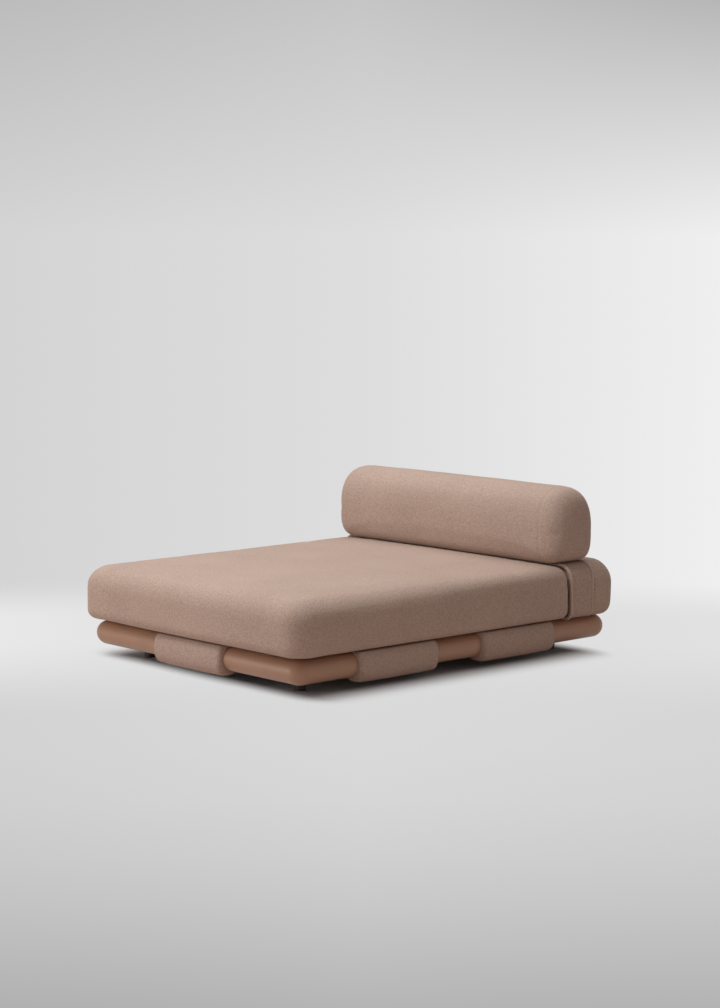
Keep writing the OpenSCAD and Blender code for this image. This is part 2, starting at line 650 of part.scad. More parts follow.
module head_band() {
  n = 4 * (band_pts + 1);
  m = len(band_st);
  base = [for (s = band_st) for (k = [0:n - 1]) let (p = loop_pt(k, 0))
    [p[0], band_y1 + s[0] + lean(p[1]) * (1 - s[0] / band_w), p[1]]];
  skin = [for (s = band_st) for (k = [0:n - 1]) let (
      b = loop_pt(k, 0),
      side = k > band_pts * 2.6 + 1 ? band_t : lerp(band_t, hem_t, min(1, max(0, (s[1] - 0.7) / 0.3))),
      p = loop_pt(k, side * (s[0] == 0 ? 0.5 : 1)))
    [min(band_hx, max(-band_hx, p[0])), band_y1 + s[0] + lean(b[1]) * (1 - s[0] / band_w),
      min(band_z1, max(cush_z, p[1]))]];
  o = m * n;
  faces = concat(
    [for (i = [0:m - 2]) for (k = [0:n - 1]) let (l = (k + 1) % n) [i * n + k, (i + 1) * n + l, (i + 1) * n + k]],
    [for (i = [0:m - 2]) for (k = [0:n - 1]) let (l = (k + 1) % n) [i * n + k, i * n + l, (i + 1) * n + l]],
    [for (i = [0:m - 2]) for (k = [0:n - 1]) let (l = (k + 1) % n)
      [o + i * n + k, o + (i + 1) * n + k, o + (i + 1) * n + l]],
    [for (i = [0:m - 2]) for (k = [0:n - 1]) let (l = (k + 1) % n)
      [o + i * n + k, o + (i + 1) * n + l, o + i * n + l]],
    [for (k = [0:n - 1]) let (l = (k + 1) % n) [k, o + k, o + l]],
    [for (k = [0:n - 1]) let (l = (k + 1) % n) [k, o + l, l]],
    [for (k = [0:n - 1]) let (l = (k + 1) % n, b = (m - 1) * n) [b + k, o + b + l, o + b + k]],
    [for (k = [0:n - 1]) let (l = (k + 1) % n, b = (m - 1) * n) [b + k, b + l, o + b + l]]
  );
  color(c_fabric2) polyhedron(points = concat(base, skin), faces = faces, convexity = 8);
}

// Bolster: rings across its section, set along X, that shrink towards the rounded ends
bol_n = 36;
function spow(v, p) = sign(v) * pow(abs(v), p);
function bol_pt(a, k) =
  let (
    top = sin(a) >= 0,
    y = bol_d / 2 * spow(cos(a), top ? 0.86 : 0.62),
    z = top ? (bol_h - bol_wide) * pow(sin(a), 0.84) : -(bol_wide + bol_flat) * pow(-sin(a), 0.6),
    zc = max(z, -bol_wide)
  )
  [y * k, zc * (k + (1 - k) * 0.18)];
bol_ends = [[0, 0.58], [0.04, 0.69], [0.16, 0.81], [0.38, 0.91], [0.67, 0.97]];
bol_m = len(bol_ends) - 1;
bol_st = concat(
  [for (j = [0:bol_m]) [-bol_l / 2 + bol_ends[j][0] * bol_end, bol_ends[j][1]]],
  [for (t = [-1, -0.34, 0.34, 1]) [t * (bol_l / 2 - bol_end), 1]],
  [for (j = [bol_m:-1:0]) [bol_l / 2 - bol_ends[j][0] * bol_end, bol_ends[j][1]]]
);
module back_bolster() {
  zc = bol_z0 + bol_wide;
  rg = [for (s = bol_st) [for (j = [0:bol_n - 1]) let (p = bol_pt(360 * j / bol_n, s[1]))
    [s[0], bol_cy + p[0], zc + p[1]]]];
  color(c_fabric) rings(rg, [-bol_l / 2, bol_cy, zc], [bol_l / 2, bol_cy, zc]);
}

// Zips on the backs of the covers, with sliders that run along them
module zip_tape(y, z) {
  translate([-zip_l / 2, y, z - zip_h / 2]) cube([zip_l, zip_t, zip_h]);
}
module zip_slider(y, z) {
  w = 6;
  translate([slider_x0 - slider_l / 2, y + zip_t + slider_gap, z - w / 2]) cube([slider_l, slider_t, w]);
  translate([slider_x0 - 3, y + zip_t + slider_gap + 0.4, z - 24]) cube([6, slider_t - 0.8, 24]);
}
module bolster_zip() {
  color(c_fabric2) zip_tape(bol_cy + bol_d / 2, zip_z_bol);
}
module bolster_slider() {
  color(c_zinc) zip_slider(bol_cy + bol_d / 2, zip_z_bol);
}
module head_zip() {
  color(c_fabric2) zip_tape(head_y2, zip_z_head);
}
module head_slider() {
  color(c_zinc) zip_slider(head_y2, zip_z_head);
}

rail_foot();
rail_head();
rail_left();
rail_right();
color(c_zinc) at_foot_rail() corner_bracket();  // corner_bracket_1
color(c_zinc) at_right_rail() corner_bracket();  // corner_bracket_2
color(c_zinc) at_head_rail() corner_bracket();  // corner_bracket_3
color(c_zinc) at_left_rail() corner_bracket();  // corner_bracket_4
corner_bolts();
cross_beam(foot_y1, [-foot_x, foot_x]);  // cross_beam_foot
cross_beam(y_mid, [0]);  // cross_beam_mid
cross_beam(foot_y2, [-foot_x, foot_x]);  // cross_beam_head
beam_end_plates();
foot_plates();
spine_beam();
beam_bolts();
slat(0);  // slat_01
slat(1);  // slat_02
slat(2);  // slat_03
slat(3);  // slat_04
slat(4);  // slat_05
slat(5);  // slat_06
slat(6);  // slat_07
slat(7);  // slat_08
slat(8);  // slat_09
slat(9);  // slat_10
slat_screws();
foot(0);  // foot_1
foot(1);  // foot_2
foot(2);  // foot_3
foot(3);  // foot_4
foot(4);  // foot_mid
foot_sleeves();
foot_hangers();
level_pad(0);  // level_pad_1
level_pad(1);  // level_pad_2
level_pad(2);  // level_pad_3
level_pad(3);  // level_pad_4
level_pad(4);  // level_pad_mid
level_stud(0);  // level_stud_1
level_stud(1);  // level_stud_2
level_stud(2);  // level_stud_3
level_stud(3);  // level_stud_4
level_stud(4);  // level_stud_mid
strap_foot();
strap_head();
strap_right(0);  // strap_right_1
strap_right(1);  // strap_right_2
strap_left(0);  // strap_left_1
strap_left(1);  // strap_left_2
seat_cushion();
head_cushion();
head_band();
back_bolster();
bolster_zip();
bolster_slider();
head_zip();
head_slider();
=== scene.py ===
"""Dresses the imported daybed: its covers, straps, finishes, studio and camera.

Everything is in metres in the part's own frame: +Z up, +Y from the foot end to the head end.
"""

import logging
import math
from dataclasses import dataclass, replace
from enum import Enum
from typing import Callable, Optional, Sequence

import bpy
import numpy as np
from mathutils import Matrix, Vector, noise


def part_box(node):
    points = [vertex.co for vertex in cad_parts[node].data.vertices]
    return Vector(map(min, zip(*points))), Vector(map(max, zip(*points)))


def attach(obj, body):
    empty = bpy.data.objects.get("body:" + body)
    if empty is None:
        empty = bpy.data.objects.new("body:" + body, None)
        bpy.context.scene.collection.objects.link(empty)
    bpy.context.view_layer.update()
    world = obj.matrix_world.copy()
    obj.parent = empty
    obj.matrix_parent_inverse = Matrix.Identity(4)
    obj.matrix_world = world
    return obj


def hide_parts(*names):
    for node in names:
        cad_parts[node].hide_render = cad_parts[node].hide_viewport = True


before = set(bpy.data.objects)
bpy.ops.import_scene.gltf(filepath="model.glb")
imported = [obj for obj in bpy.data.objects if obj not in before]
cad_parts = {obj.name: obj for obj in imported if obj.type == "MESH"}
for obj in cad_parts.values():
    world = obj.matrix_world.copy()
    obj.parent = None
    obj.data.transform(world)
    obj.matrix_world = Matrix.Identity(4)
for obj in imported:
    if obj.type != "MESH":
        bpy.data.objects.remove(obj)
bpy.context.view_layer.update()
LOG = logging.getLogger("daybed")


# Small tools


def linear(code: str) -> tuple[float, float, float, float]:
    """Turn an sRGB hex colour into the linear values that shaders take.

    Args:
        code: Six hex digits, such as "C0A594".

    Returns:
        Red, green, blue and an alpha of one.
    """
    rgb = [int(code[i : i + 2], 16) / 255 for i in (0, 2, 4)]
    lin = [c / 12.92 if c <= 0.04045 else ((c + 0.055) / 1.055) ** 2.4 for c in rgb]
    return (lin[0], lin[1], lin[2], 1.0)


def add(
    tree: bpy.types.NodeTree,
    kind: str,
    inputs: Optional[dict] = None,
    stops: Sequence[tuple] = (),
    **settings: object,
) -> bpy.types.Node:
    """Add one node with its settings, its input values or links, and its colour stops.

    Args:
        tree: The node tree that gets the node.
        kind: Blender's node type, such as "ShaderNodeTexNoise".
        inputs: Input name or index mapped to a value or to an output socket.
        stops: Pairs of place and linear colour, for a node with a colour ramp.
        **settings: Attributes of the node itself.

    Returns:
        The new node.
    """
    node = tree.nodes.new(kind)
    for name, value in settings.items():
        setattr(node, name, value)
    for key, value in (inputs or {}).items():
        if isinstance(value, bpy.types.NodeSocket):
            tree.links.new(value, node.inputs[key])
        else:
            node.inputs[key].default_value = value
    if stops:
        elements = node.color_ramp.elements
        while len(elements) < len(stops):
            elements.new(0.5)
        for element, (place, colour) in zip(elements, stops):
            element.position = place
            element.color = colour
    return node


def scaled(colour: Sequence[float], factor: float) -> tuple[float, float, float, float]:
    """Make a linear colour darker or lighter, with no channel over one."""
    red, green, blue = (min(1.0, channel * factor) for channel in colour[:3])
    return (red, green, blue, 1.0)


def smoothstep(t: np.ndarray) -> np.ndarray:
    """Ease a value from 0 to 1 with flat ends."""
    t = np.clip(t, 0.0, 1.0)
    return t * t * (3 - 2 * t)


def make_mesh(
    name: str, points: np.ndarray, faces: Sequence[Sequence[int]]
) -> bpy.types.Object:
    """Make a smooth-shaded mesh object.

    Args:
        name: The piece's name.
        points: Vertex positions in metres.
        faces: Vertex numbers of each face.

    Returns:
        The linked object.
    """
    mesh = bpy.data.meshes.new(name)
    mesh.from_pydata([tuple(map(float, p)) for p in points], [], [tuple(f) for f in faces])
    mesh.validate()
    mesh.update()
    mesh.polygons.foreach_set("use_smooth", [True] * len(mesh.polygons))
    piece = bpy.data.objects.new(name, mesh)
    bpy.context.scene.collection.objects.link(piece)
    return piece


def grid_faces(rows: int, cols: int, offset: int = 0, closed: bool = False) -> list[tuple]:
    """List the quads between closed rows of points.

    Args:
        rows: Number of rows.
        cols: Number of points in each row.
        offset: Number of the first point.
        closed: Whether the last row joins the first.

    Returns:
        Vertex numbers of each quad.
    """
    starts = [offset + i * cols for i in range(rows)]
    pairs = list(zip(starts, starts[1:] + (starts[:1] if closed else [])))
    return [
        (here + k, here + (k + 1) % cols, there + (k + 1) % cols, there + k)
        for here, there in pairs
        for k in range(cols)
    ]


def loft(name: str, rings: Sequence[np.ndarray]) -> bpy.types.Object:
    """Join closed rings of equal length into a closed skin with capped ends.

    Args:
        name: The piece's name.
        rings: Arrays of points, from the first end to the last.

    Returns:
        The closed object, with its faces turned outwards.
    """
    cols = len(rings[0])
    points = np.vstack([*rings, rings[0].mean(0)[None], rings[-1].mean(0)[None]])
    faces = grid_faces(len(rings), cols)
    low, high = len(points) - 2, len(points) - 1
    last = (len(rings) - 1) * cols
    for k in range(cols):
        faces.append((low, (k + 1) % cols, k))
        faces.append((high, last + k, last + (k + 1) % cols))
    return make_mesh(name, points, faces)


def coords(piece: bpy.types.Object) -> np.ndarray:
    """Read a mesh's vertex positions.

    Args:
        piece: The mesh.

    Returns:
        One row of X, Y and Z for each vertex.
    """
    co = np.empty(len(piece.data.vertices) * 3, np.float32)
    piece.data.vertices.foreach_get("co", co)
    return co.reshape(-1, 3).astype(float)


def set_coords(piece: bpy.types.Object, co: np.ndarray) -> None:
    """Write a mesh's vertex positions."""
    piece.data.vertices.foreach_set("co", co.astype(np.float32).ravel())
    piece.data.update()


def apply_modifiers(piece: bpy.types.Object) -> None:
    """Turn a piece's modifiers into its own mesh.

    Args:
        piece: The piece, which keeps its name and place.
    """
    graph = bpy.context.evaluated_depsgraph_get()
    mesh = bpy.data.meshes.new_from_object(piece.evaluated_get(graph))
    piece.modifiers.clear()
    old = piece.data
    piece.data = mesh
    bpy.data.meshes.remove(old)
    mesh.polygons.foreach_set("use_smooth", [True] * len(mesh.polygons))
    mesh.update()


def even_skin(piece: bpy.types.Object, voxel: float, rounds: int = 6) -> None:
    """Rebuild a closed mesh from even quads and smooth out the steps.

    Args:
        piece: The closed mesh.
        voxel: Size of a quad in metres.
        rounds: Smoothing passes.
    """
    mod = piece.modifiers.new("even", "REMESH")
    mod.mode = "VOXEL"
    mod.voxel_size = voxel
    mod.use_smooth_shade = True
    smooth = piece.modifiers.new("smooth", "SMOOTH")
    smooth.factor = 0.5
    smooth.iterations = rounds
    apply_modifiers(piece)


# The covers' cloth: steps of its simulation, and its weight, stiffness and inner pressure
CLOTH_STEPS = 20
CLOTH_SETTINGS = {
    "quality": 5,
    "mass": 0.35,
    "tension_stiffness": 18,
    "compression_stiffness": 18,
    "shear_stiffness": 6,
    "bending_stiffness": 1.2,
    "use_pressure": True,
    "uniform_pressure_force": 3.0,
    # The cloth is cut this share wider than its form
    "shrink_min": -0.004,
}


def inflate(piece: bpy.types.Object, cap: float) -> None:
    """Blow a cover up with a short cloth simulation and keep the result.

    Args:
        piece: A closed mesh of even quads.
        cap: The most that a point may move, in metres.
    """
    start = coords(piece)
    mod = piece.modifiers.new("cloth", "CLOTH")
    for setting, value in CLOTH_SETTINGS.items():
        setattr(mod.settings, setting, value)
    mod.settings.effector_weights.gravity = 0
    mod.collision_settings.use_collision = False
    mod.collision_settings.use_self_collision = False
    mod.point_cache.frame_start = 1
    mod.point_cache.frame_end = CLOTH_STEPS
    scene = bpy.context.scene
    for step in range(1, CLOTH_STEPS + 1):
        scene.frame_set(step)
    apply_modifiers(piece)
    moved = coords(piece) - start
    reach = np.linalg.norm(moved, axis=1, keepdims=True)
    soft = cap * np.tanh(reach / cap) / np.maximum(reach, 1e-9)
    set_coords(piece, start + moved * soft)
    scene.frame_set(1)


def point_normals(piece: bpy.types.Object) -> np.ndarray:
    """Read a mesh's outward direction at each vertex.

    Args:
        piece: The mesh.

    Returns:
        One unit vector for each vertex.
    """
    normals = np.empty(len(piece.data.vertices) * 3, np.float32)
    piece.data.vertices.foreach_get("normal", normals)
    return normals.reshape(-1, 3)


def undulate(piece: bpy.types.Object, depth: float, span: float, seed: float) -> None:
    """Move a skin gently in and out, as foam under a loose cover does.

    Args:
        piece: The mesh.
        depth: Greatest movement in metres.
        span: Length of one rise and fall in metres.
        seed: Offset into the noise field.
    """
    co = coords(piece)
    normals = point_normals(piece)
    offset = Vector((seed, 2 * seed, 0))
    rise = np.array([noise.noise(Vector(p) / span + offset) for p in co])
    set_coords(piece, co + normals * (rise * depth)[:, None])


def stretch(co: np.ndarray, axis: int, about: float, low: float, high: float) -> None:
    """Scale a skin on each side of a plane so that it reaches its true extent again.

    Args:
        co: The skin's points, changed in place.
        axis: 0, 1 or 2 for X, Y or Z.
        about: The plane's place on that axis.
        low: Where the lowest point must be.
        high: Where the highest point must be.
    """
    v = co[:, axis]
    down = (about - low) / (about - v.min())
    up = (high - about) / (v.max() - about)
    co[:, axis] = about + np.where(v < about, (v - about) * down, (v - about) * up)


def refine(piece: bpy.types.Object) -> None:
    """Subdivide a skin once and keep the result.

    Args:
        piece: The skin.
    """
    mod = piece.modifiers.new("fine", "SUBSURF")
    mod.levels = 1
    mod.render_levels = 1
    apply_modifiers(piece)


# Finishes


def new_material(
    name: str,
) -> tuple[bpy.types.Material, bpy.types.NodeTree, bpy.types.Node]:
    """Start a material with one principled shader.

    Args:
        name: The material's name.

    Returns:
        The material, its node tree and its shader node.
    """
    material = bpy.data.materials.new(name)
    material.use_nodes = True
    tree = material.node_tree
    return material, tree, tree.nodes["Principled BSDF"]


@dataclass(frozen=True)
class BoucleCloth:
    """Looped wool cloth: matt, with small nubs that catch light, painted lighter on top and darker
    below, and a soft rim of loose fibre.
    """

    name: str
    tone: str
    # Tones of the raised nubs and the low gaps: they vary at random, and also paint a highlight on
    # top and shade below
    nub_tone_and_highlight: str
    gap_tone_and_shade: str
    # Real loops are about 2.5 mm; drawn at twice that, they still show from ten metres
    loop_mm: float = 5.0
    lift_mm: float = 1.6
    clump_loops: float = 1.5
    drift_mm: float = 312.5
    roughness: float = 0.92
    specular: float = 0.25
    sheen: float = 0.22
    sheen_tone: str = "E8CFC2"

    def build(self) -> bpy.types.Material:
        """Make the material.

        Returns:
            The bouclé material.
        """
        material, tree, shader = new_material(self.name)
        place = add(tree, "ShaderNodeTexCoord").outputs["Object"]
        loops = add(
            tree,
            "ShaderNodeTexVoronoi",
            {"Vector": place, "Scale": 1000 / self.loop_mm, "Randomness": 0.9},
            feature="SMOOTH_F1",
        )
        clump = add(
            tree,
            "ShaderNodeTexNoise",
            {
                "Vector": place,
                "Scale": 1000 / (self.loop_mm * self.clump_loops),
                "Detail": 2.0,
                "Roughness": 0.6,
            },
        )
        drift = add(
            tree,
            "ShaderNodeTexNoise",
            {"Vector": place, "Scale": 1000 / self.drift_mm, "Detail": 2.0},
        )
        # The clumps vary in tone at random; as the same noise raises them in the bump, the lighter
        # tone on top and the darker one below are also painted highlight and shade
        body = add(
            tree,
            "ShaderNodeValToRGB",
            {"Fac": clump.outputs["Fac"]},
            [(0.25, linear(self.gap_tone_and_shade)), (0.50, linear(self.tone)), (0.75, linear(self.nub_tone_and_highlight))],
        )
        # Painted shade: the gaps between the loops, where the bump sinks, are darkened
        painted_loop_gap_shade = add(
            tree,
            "ShaderNodeValToRGB",
            {"Fac": loops.outputs["Distance"]},
            [(0.15, (1, 1, 1, 1)), (0.75, (0.80, 0.78, 0.77, 1))],
        )
        mixed = add(
            tree,
            "ShaderNodeMix",
            {"Factor": 1.0, 6: body.outputs["Color"], 7: painted_loop_gap_shade.outputs["Color"]},
            data_type="RGBA",
            blend_type="MULTIPLY",
        )
        # Handling and light leave the cloth a little uneven from place to place
        shade = add(
            tree,
            "ShaderNodeValToRGB",
            {"Fac": drift.outputs["Fac"]},
            [(0.3, (0.955, 0.95, 0.945, 1)), (0.7, (1.03, 1.03, 1.03, 1))],
        )
        final = add(
            tree,
            "ShaderNodeMix",
            {"Factor": 1.0, 6: mixed.outputs[2], 7: shade.outputs["Color"]},
            data_type="RGBA",
            blend_type="MULTIPLY",
        )
        tree.links.new(final.outputs[2], shader.inputs["Base Color"])
        height = add(
            tree,
            "ShaderNodeMath",
            {0: loops.outputs["Distance"], 1: clump.outputs["Fac"]},
            operation="SUBTRACT",
        )
        bump = add(
            tree,
            "ShaderNodeBump",
            {"Strength": 0.55, "Distance": self.lift_mm / 1000, "Height": height.outputs[0]},
            invert=True,
        )
        tree.links.new(bump.outputs[0], shader.inputs["Normal"])
        shader.inputs["Roughness"].default_value = self.roughness
        shader.inputs["IOR"].default_value = 1.5
        shader.inputs["Specular IOR Level"].default_value = self.specular
        shader.inputs["Sheen Weight"].default_value = self.sheen
        shader.inputs["Sheen Roughness"].default_value = 0.45
        shader.inputs["Sheen Tint"].default_value = linear(self.sheen_tone)
        return material


@dataclass(frozen=True)
class SatinLacquer:
    """Sprayed lacquer on metal: an even colour, a soft highlight and a trace of spray texture."""

    name: str
    tone: str
    roughness: float = 0.42
    peel_mm: float = 1.2
    cloud_mm: float = 200.0

    def build(self) -> bpy.types.Material:
        """Make the material.

        Returns:
            The lacquer material.
        """
        material, tree, shader = new_material(self.name)
        place = add(tree, "ShaderNodeTexCoord").outputs["Object"]
        cloud = add(
            tree,
            "ShaderNodeTexNoise",
            {"Vector": place, "Scale": 1000 / self.cloud_mm, "Detail": 3.0},
        )
        fine = add(
            tree,
            "ShaderNodeTexNoise",
            {"Vector": place, "Scale": 1000 / self.peel_mm, "Detail": 2.0},
        )
        base = linear(self.tone)
        colour = add(
            tree,
            "ShaderNodeValToRGB",
            {"Fac": cloud.outputs["Fac"]},
            [(0.3, scaled(base, 0.93)), (0.7, scaled(base, 1.05))],
        )
        tree.links.new(colour.outputs["Color"], shader.inputs["Base Color"])
        rough = add(
            tree,
            "ShaderNodeMapRange",
            {
                "Value": cloud.outputs["Fac"],
                "To Min": self.roughness - 0.04,
                "To Max": self.roughness + 0.06,
            },
        )
        tree.links.new(rough.outputs[0], shader.inputs["Roughness"])
        bump = add(
            tree,
            "ShaderNodeBump",
            {"Strength": 0.08, "Distance": 0.0003, "Height": fine.outputs["Fac"]},
        )
        tree.links.new(bump.outputs[0], shader.inputs["Normal"])
        shader.inputs["IOR"].default_value = 1.5
        return material


@dataclass(frozen=True)
class PlanedWood:
    """Planed timber: long grain lines, pores in the surface and a thin finish."""

    name: str
    pale: str
    dark: str
    grain_mm: float
    # How fast the pattern runs along X, Y and Z: slowest along the grain
    along: tuple[float, float, float]
    roughness: float
    coat: float = 0.0
    pores_per_grain: float = 4.0

    def build(self) -> bpy.types.Material:
        """Make the material.

        Returns:
            The wood material.
        """
        material, tree, shader = new_material(self.name)
        place = add(tree, "ShaderNodeTexCoord").outputs["Object"]
        drawn = add(tree, "ShaderNodeMapping", {"Vector": place, "Scale": self.along}).outputs[0]
        rings = add(
            tree,
            "ShaderNodeTexNoise",
            {
                "Vector": drawn,
                "Scale": 1000 / self.grain_mm,
                "Detail": 5.0,
                "Roughness": 0.65,
                "Distortion": 0.4,
            },
        )
        pores = add(
            tree,
            "ShaderNodeTexNoise",
            {"Vector": drawn, "Scale": 1000 * self.pores_per_grain / self.grain_mm, "Detail": 2.0},
        )
        colour = add(
            tree,
            "ShaderNodeValToRGB",
            {"Fac": rings.outputs["Fac"]},
            [(0.35, linear(self.dark)), (0.62, linear(self.pale))],
        )
        tree.links.new(colour.outputs["Color"], shader.inputs["Base Color"])
        bump = add(
            tree,
            "ShaderNodeBump",
            {"Strength": 0.15, "Distance": 0.0004, "Height": pores.outputs["Fac"]},
        )
        tree.links.new(bump.outputs[0], shader.inputs["Normal"])
        shader.inputs["Roughness"].default_value = self.roughness
        shader.inputs["IOR"].default_value = 1.5
        shader.inputs["Coat Weight"].default_value = self.coat
        shader.inputs["Coat Roughness"].default_value = 0.2
        return material


@dataclass(frozen=True)
class PlatedMetal:
    """Plated or turned metal: a mirror base broken by fine marks from the tool or the bath."""

    name: str
    tone: str
    roughness: float
    mark_mm: float = 0.8
    patch_mm: float = 16.67

    def build(self) -> bpy.types.Material:
        """Make the material.

        Returns:
            The metal material.
        """
        material, tree, shader = new_material(self.name)
        place = add(tree, "ShaderNodeTexCoord").outputs["Object"]
        marks = add(
            tree,
            "ShaderNodeTexNoise",
            {"Vector": place, "Scale": 1000 / self.mark_mm, "Detail": 3.0},
        )
        patch = add(
            tree,
            "ShaderNodeTexNoise",
            {"Vector": place, "Scale": 1000 / self.patch_mm, "Detail": 2.0},
        )
        base = linear(self.tone)
        colour = add(
            tree,
            "ShaderNodeValToRGB",
            {"Fac": patch.outputs["Fac"]},
            [(0.35, scaled(base, 0.85)), (0.65, base)],
        )
        tree.links.new(colour.outputs["Color"], shader.inputs["Base Color"])
        rough = add(
            tree,
            "ShaderNodeMapRange",
            {
                "Value": marks.outputs["Fac"],
                "To Min": self.roughness - 0.08,
                "To Max": self.roughness + 0.1,
            },
        )
        tree.links.new(rough.outputs[0], shader.inputs["Roughness"])
        shader.inputs["Metallic"].default_value = 1.0
        return material


@dataclass(frozen=True)
class MouldedPlastic:
    """Moulded nylon or a powder coat: dull, with a fine even grain."""

    name: str
    tone: str
    roughness: float
    grain_mm: float = 0.7

    def build(self) -> bpy.types.Material:
        """Make the material.

        Returns:
            The plastic or powder material.
        """
        material, tree, shader = new_material(self.name)
        place = add(tree, "ShaderNodeTexCoord").outputs["Object"]
        grain = add(
            tree,
            "ShaderNodeTexNoise",
            {"Vector": place, "Scale": 1000 / self.grain_mm, "Detail": 2.0},
        )
        base = linear(self.tone)
        colour = add(
            tree,
            "ShaderNodeValToRGB",
            {"Fac": grain.outputs["Fac"]},
            [(0.35, base), (0.75, scaled(base, 1.25))],
        )
        tree.links.new(colour.outputs["Color"], shader.inputs["Base Color"])
        bump = add(
            tree,
            "ShaderNodeBump",
            {"Strength": 0.2, "Distance": 0.0002, "Height": grain.outputs["Fac"]},
        )
        tree.links.new(bump.outputs[0], shader.inputs["Normal"])
        shader.inputs["Roughness"].default_value = self.roughness
        shader.inputs["IOR"].default_value = 1.5
        return material


@dataclass(frozen=True)
class ZipTape:
    """Woven tape with a row of small metal teeth along its middle."""

    name: str
    tone: str
    tooth: str
    middle_z: float = 0.0
    pitch_mm: float = 3.0
    tooth_half_mm: float = 2.2
    weave_mm: float = 0.714

    def build(self) -> bpy.types.Material:
        """Make the material.

        Returns:
            The zip material.
        """
        material, tree, shader = new_material(self.name)
        place = add(tree, "ShaderNodeTexCoord").outputs["Object"]
        split = add(tree, "ShaderNodeSeparateXYZ", {"Vector": place})
        off = add(
            tree,
            "ShaderNodeMath",
            {0: split.outputs["Z"], 1: self.middle_z},
            operation="SUBTRACT",
        )
        away = add(tree, "ShaderNodeMath", {0: off.outputs[0]}, operation="ABSOLUTE")
        row = add(
            tree,
            "ShaderNodeMath",
            {0: away.outputs[0], 1: self.tooth_half_mm / 1000},
            operation="LESS_THAN",
        )
        # One turn of a sine wave along X is one tooth and the gap beside it
        along = add(
            tree,
            "ShaderNodeMath",
            {0: split.outputs["X"], 1: 2 * math.pi * 1000 / self.pitch_mm},
            operation="MULTIPLY",
        )
        wave = add(tree, "ShaderNodeMath", {0: along.outputs[0]}, operation="SINE")
        tooth = add(
            tree, "ShaderNodeMath", {0: wave.outputs[0], 1: -0.2}, operation="GREATER_THAN"
        )
        teeth = add(
            tree,
            "ShaderNodeMath",
            {0: row.outputs[0], 1: tooth.outputs[0]},
            operation="MULTIPLY",
        )
        weave = add(
            tree,
            "ShaderNodeTexNoise",
            {"Vector": place, "Scale": 1000 / self.weave_mm, "Detail": 2.0},
        )
        base = linear(self.tone)
        cloth = add(
            tree,
            "ShaderNodeValToRGB",
            {"Fac": weave.outputs["Fac"]},
            [(0.3, scaled(base, 0.8)), (0.7, base)],
        )
        colour = add(
            tree,
            "ShaderNodeMix",
            {"Factor": teeth.outputs[0], 6: cloth.outputs["Color"], 7: linear(self.tooth)},
            data_type="RGBA",
        )
        tree.links.new(colour.outputs[2], shader.inputs["Base Color"])
        tree.links.new(teeth.outputs[0], shader.inputs["Metallic"])
        rough = add(
            tree,
            "ShaderNodeMapRange",
            {"Value": teeth.outputs[0], "To Min": 0.85, "To Max": 0.35},
        )
        tree.links.new(rough.outputs[0], shader.inputs["Roughness"])
        bump = add(
            tree,
            "ShaderNodeBump",
            {"Strength": 0.6, "Distance": 0.0006, "Height": teeth.outputs[0]},
        )
        tree.links.new(bump.outputs[0], shader.inputs["Normal"])
        return material


class Finish(Enum):
    """The finishes of the daybed, each with its recipe."""

    CUSHION = BoucleCloth("boucle_wool_cushions", "BEA598", "C8B0A3", "B0978A")
    STRAP = BoucleCloth("boucle_wool_straps", "BCA396", "C6AEA1", "AC9386")
    # The piping is the same cloth in a lighter tone: a painted highlight along the band's folded
    # edges
    PIPING_HIGHLIGHT = BoucleCloth("boucle_wool_piping_painted_highlight", "D6C0B2", "DDC8BB", "CAB3A6", 3.0, 0.5)
    THREAD = MouldedPlastic("polyester_sewing_thread", "8E7468", 0.7)
    RAIL = SatinLacquer("satin_lacquer_rails", "B0866C")
    BEAM = MouldedPlastic("matt_powder_coat_beams", "1E1E20", 0.6)
    ZINC = PlatedMetal("zinc_plated_steel", "C9CACC", 0.36)
    BRASS = PlatedMetal("turned_brass_sleeves", "C9A45C", 0.3)
    ZIP_METAL = PlatedMetal("plated_zip_sliders", "A8988A", 0.3)
    SLAT = PlanedWood("planed_birch_slats", "DBC29A", "BE9C6E", 22.0, (0.06, 1.0, 1.0), 0.55)
    FOOT = PlanedWood("stained_beech_feet", "4A2418", "241009", 9.0, (1.0, 1.0, 0.12), 0.38, 0.4)
    PAD = MouldedPlastic("moulded_nylon_pads", "1B1B1D", 0.55)
    ZIP_HEAD = ZipTape("woven_zip_tape_head", "8A7064", "B9A89A")
    ZIP_BOLSTER = ZipTape("woven_zip_tape_bolster", "8A7064", "B9A89A")


_built: dict[str, bpy.types.Material] = {}


def finish_of(kind: Finish) -> bpy.types.Material:
    """Give a finish's material, made once.

    Args:
        kind: The finish.

    Returns:
        Its material.
    """
    if kind.name not in _built:
        recipe = kind.value
        if isinstance(recipe, ZipTape):
            # The teeth run along the middle of the tape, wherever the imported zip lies
            low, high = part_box("head_zip" if kind is Finish.ZIP_HEAD else "bolster_zip")
            recipe = replace(recipe, middle_z=(low.z + high.z) / 2)
        _built[kind.name] = recipe.build()
    return _built[kind.name]


def dress(piece: bpy.types.Object, kind: Finish) -> None:
    """Give a piece one finish all over."""
    piece.data.materials.clear()
    piece.data.materials.append(finish_of(kind))


# Soft forms


# Steps in a corner and along a side of the seat's outline
PLAN_ARC = 14
PLAN_SIDE = 22


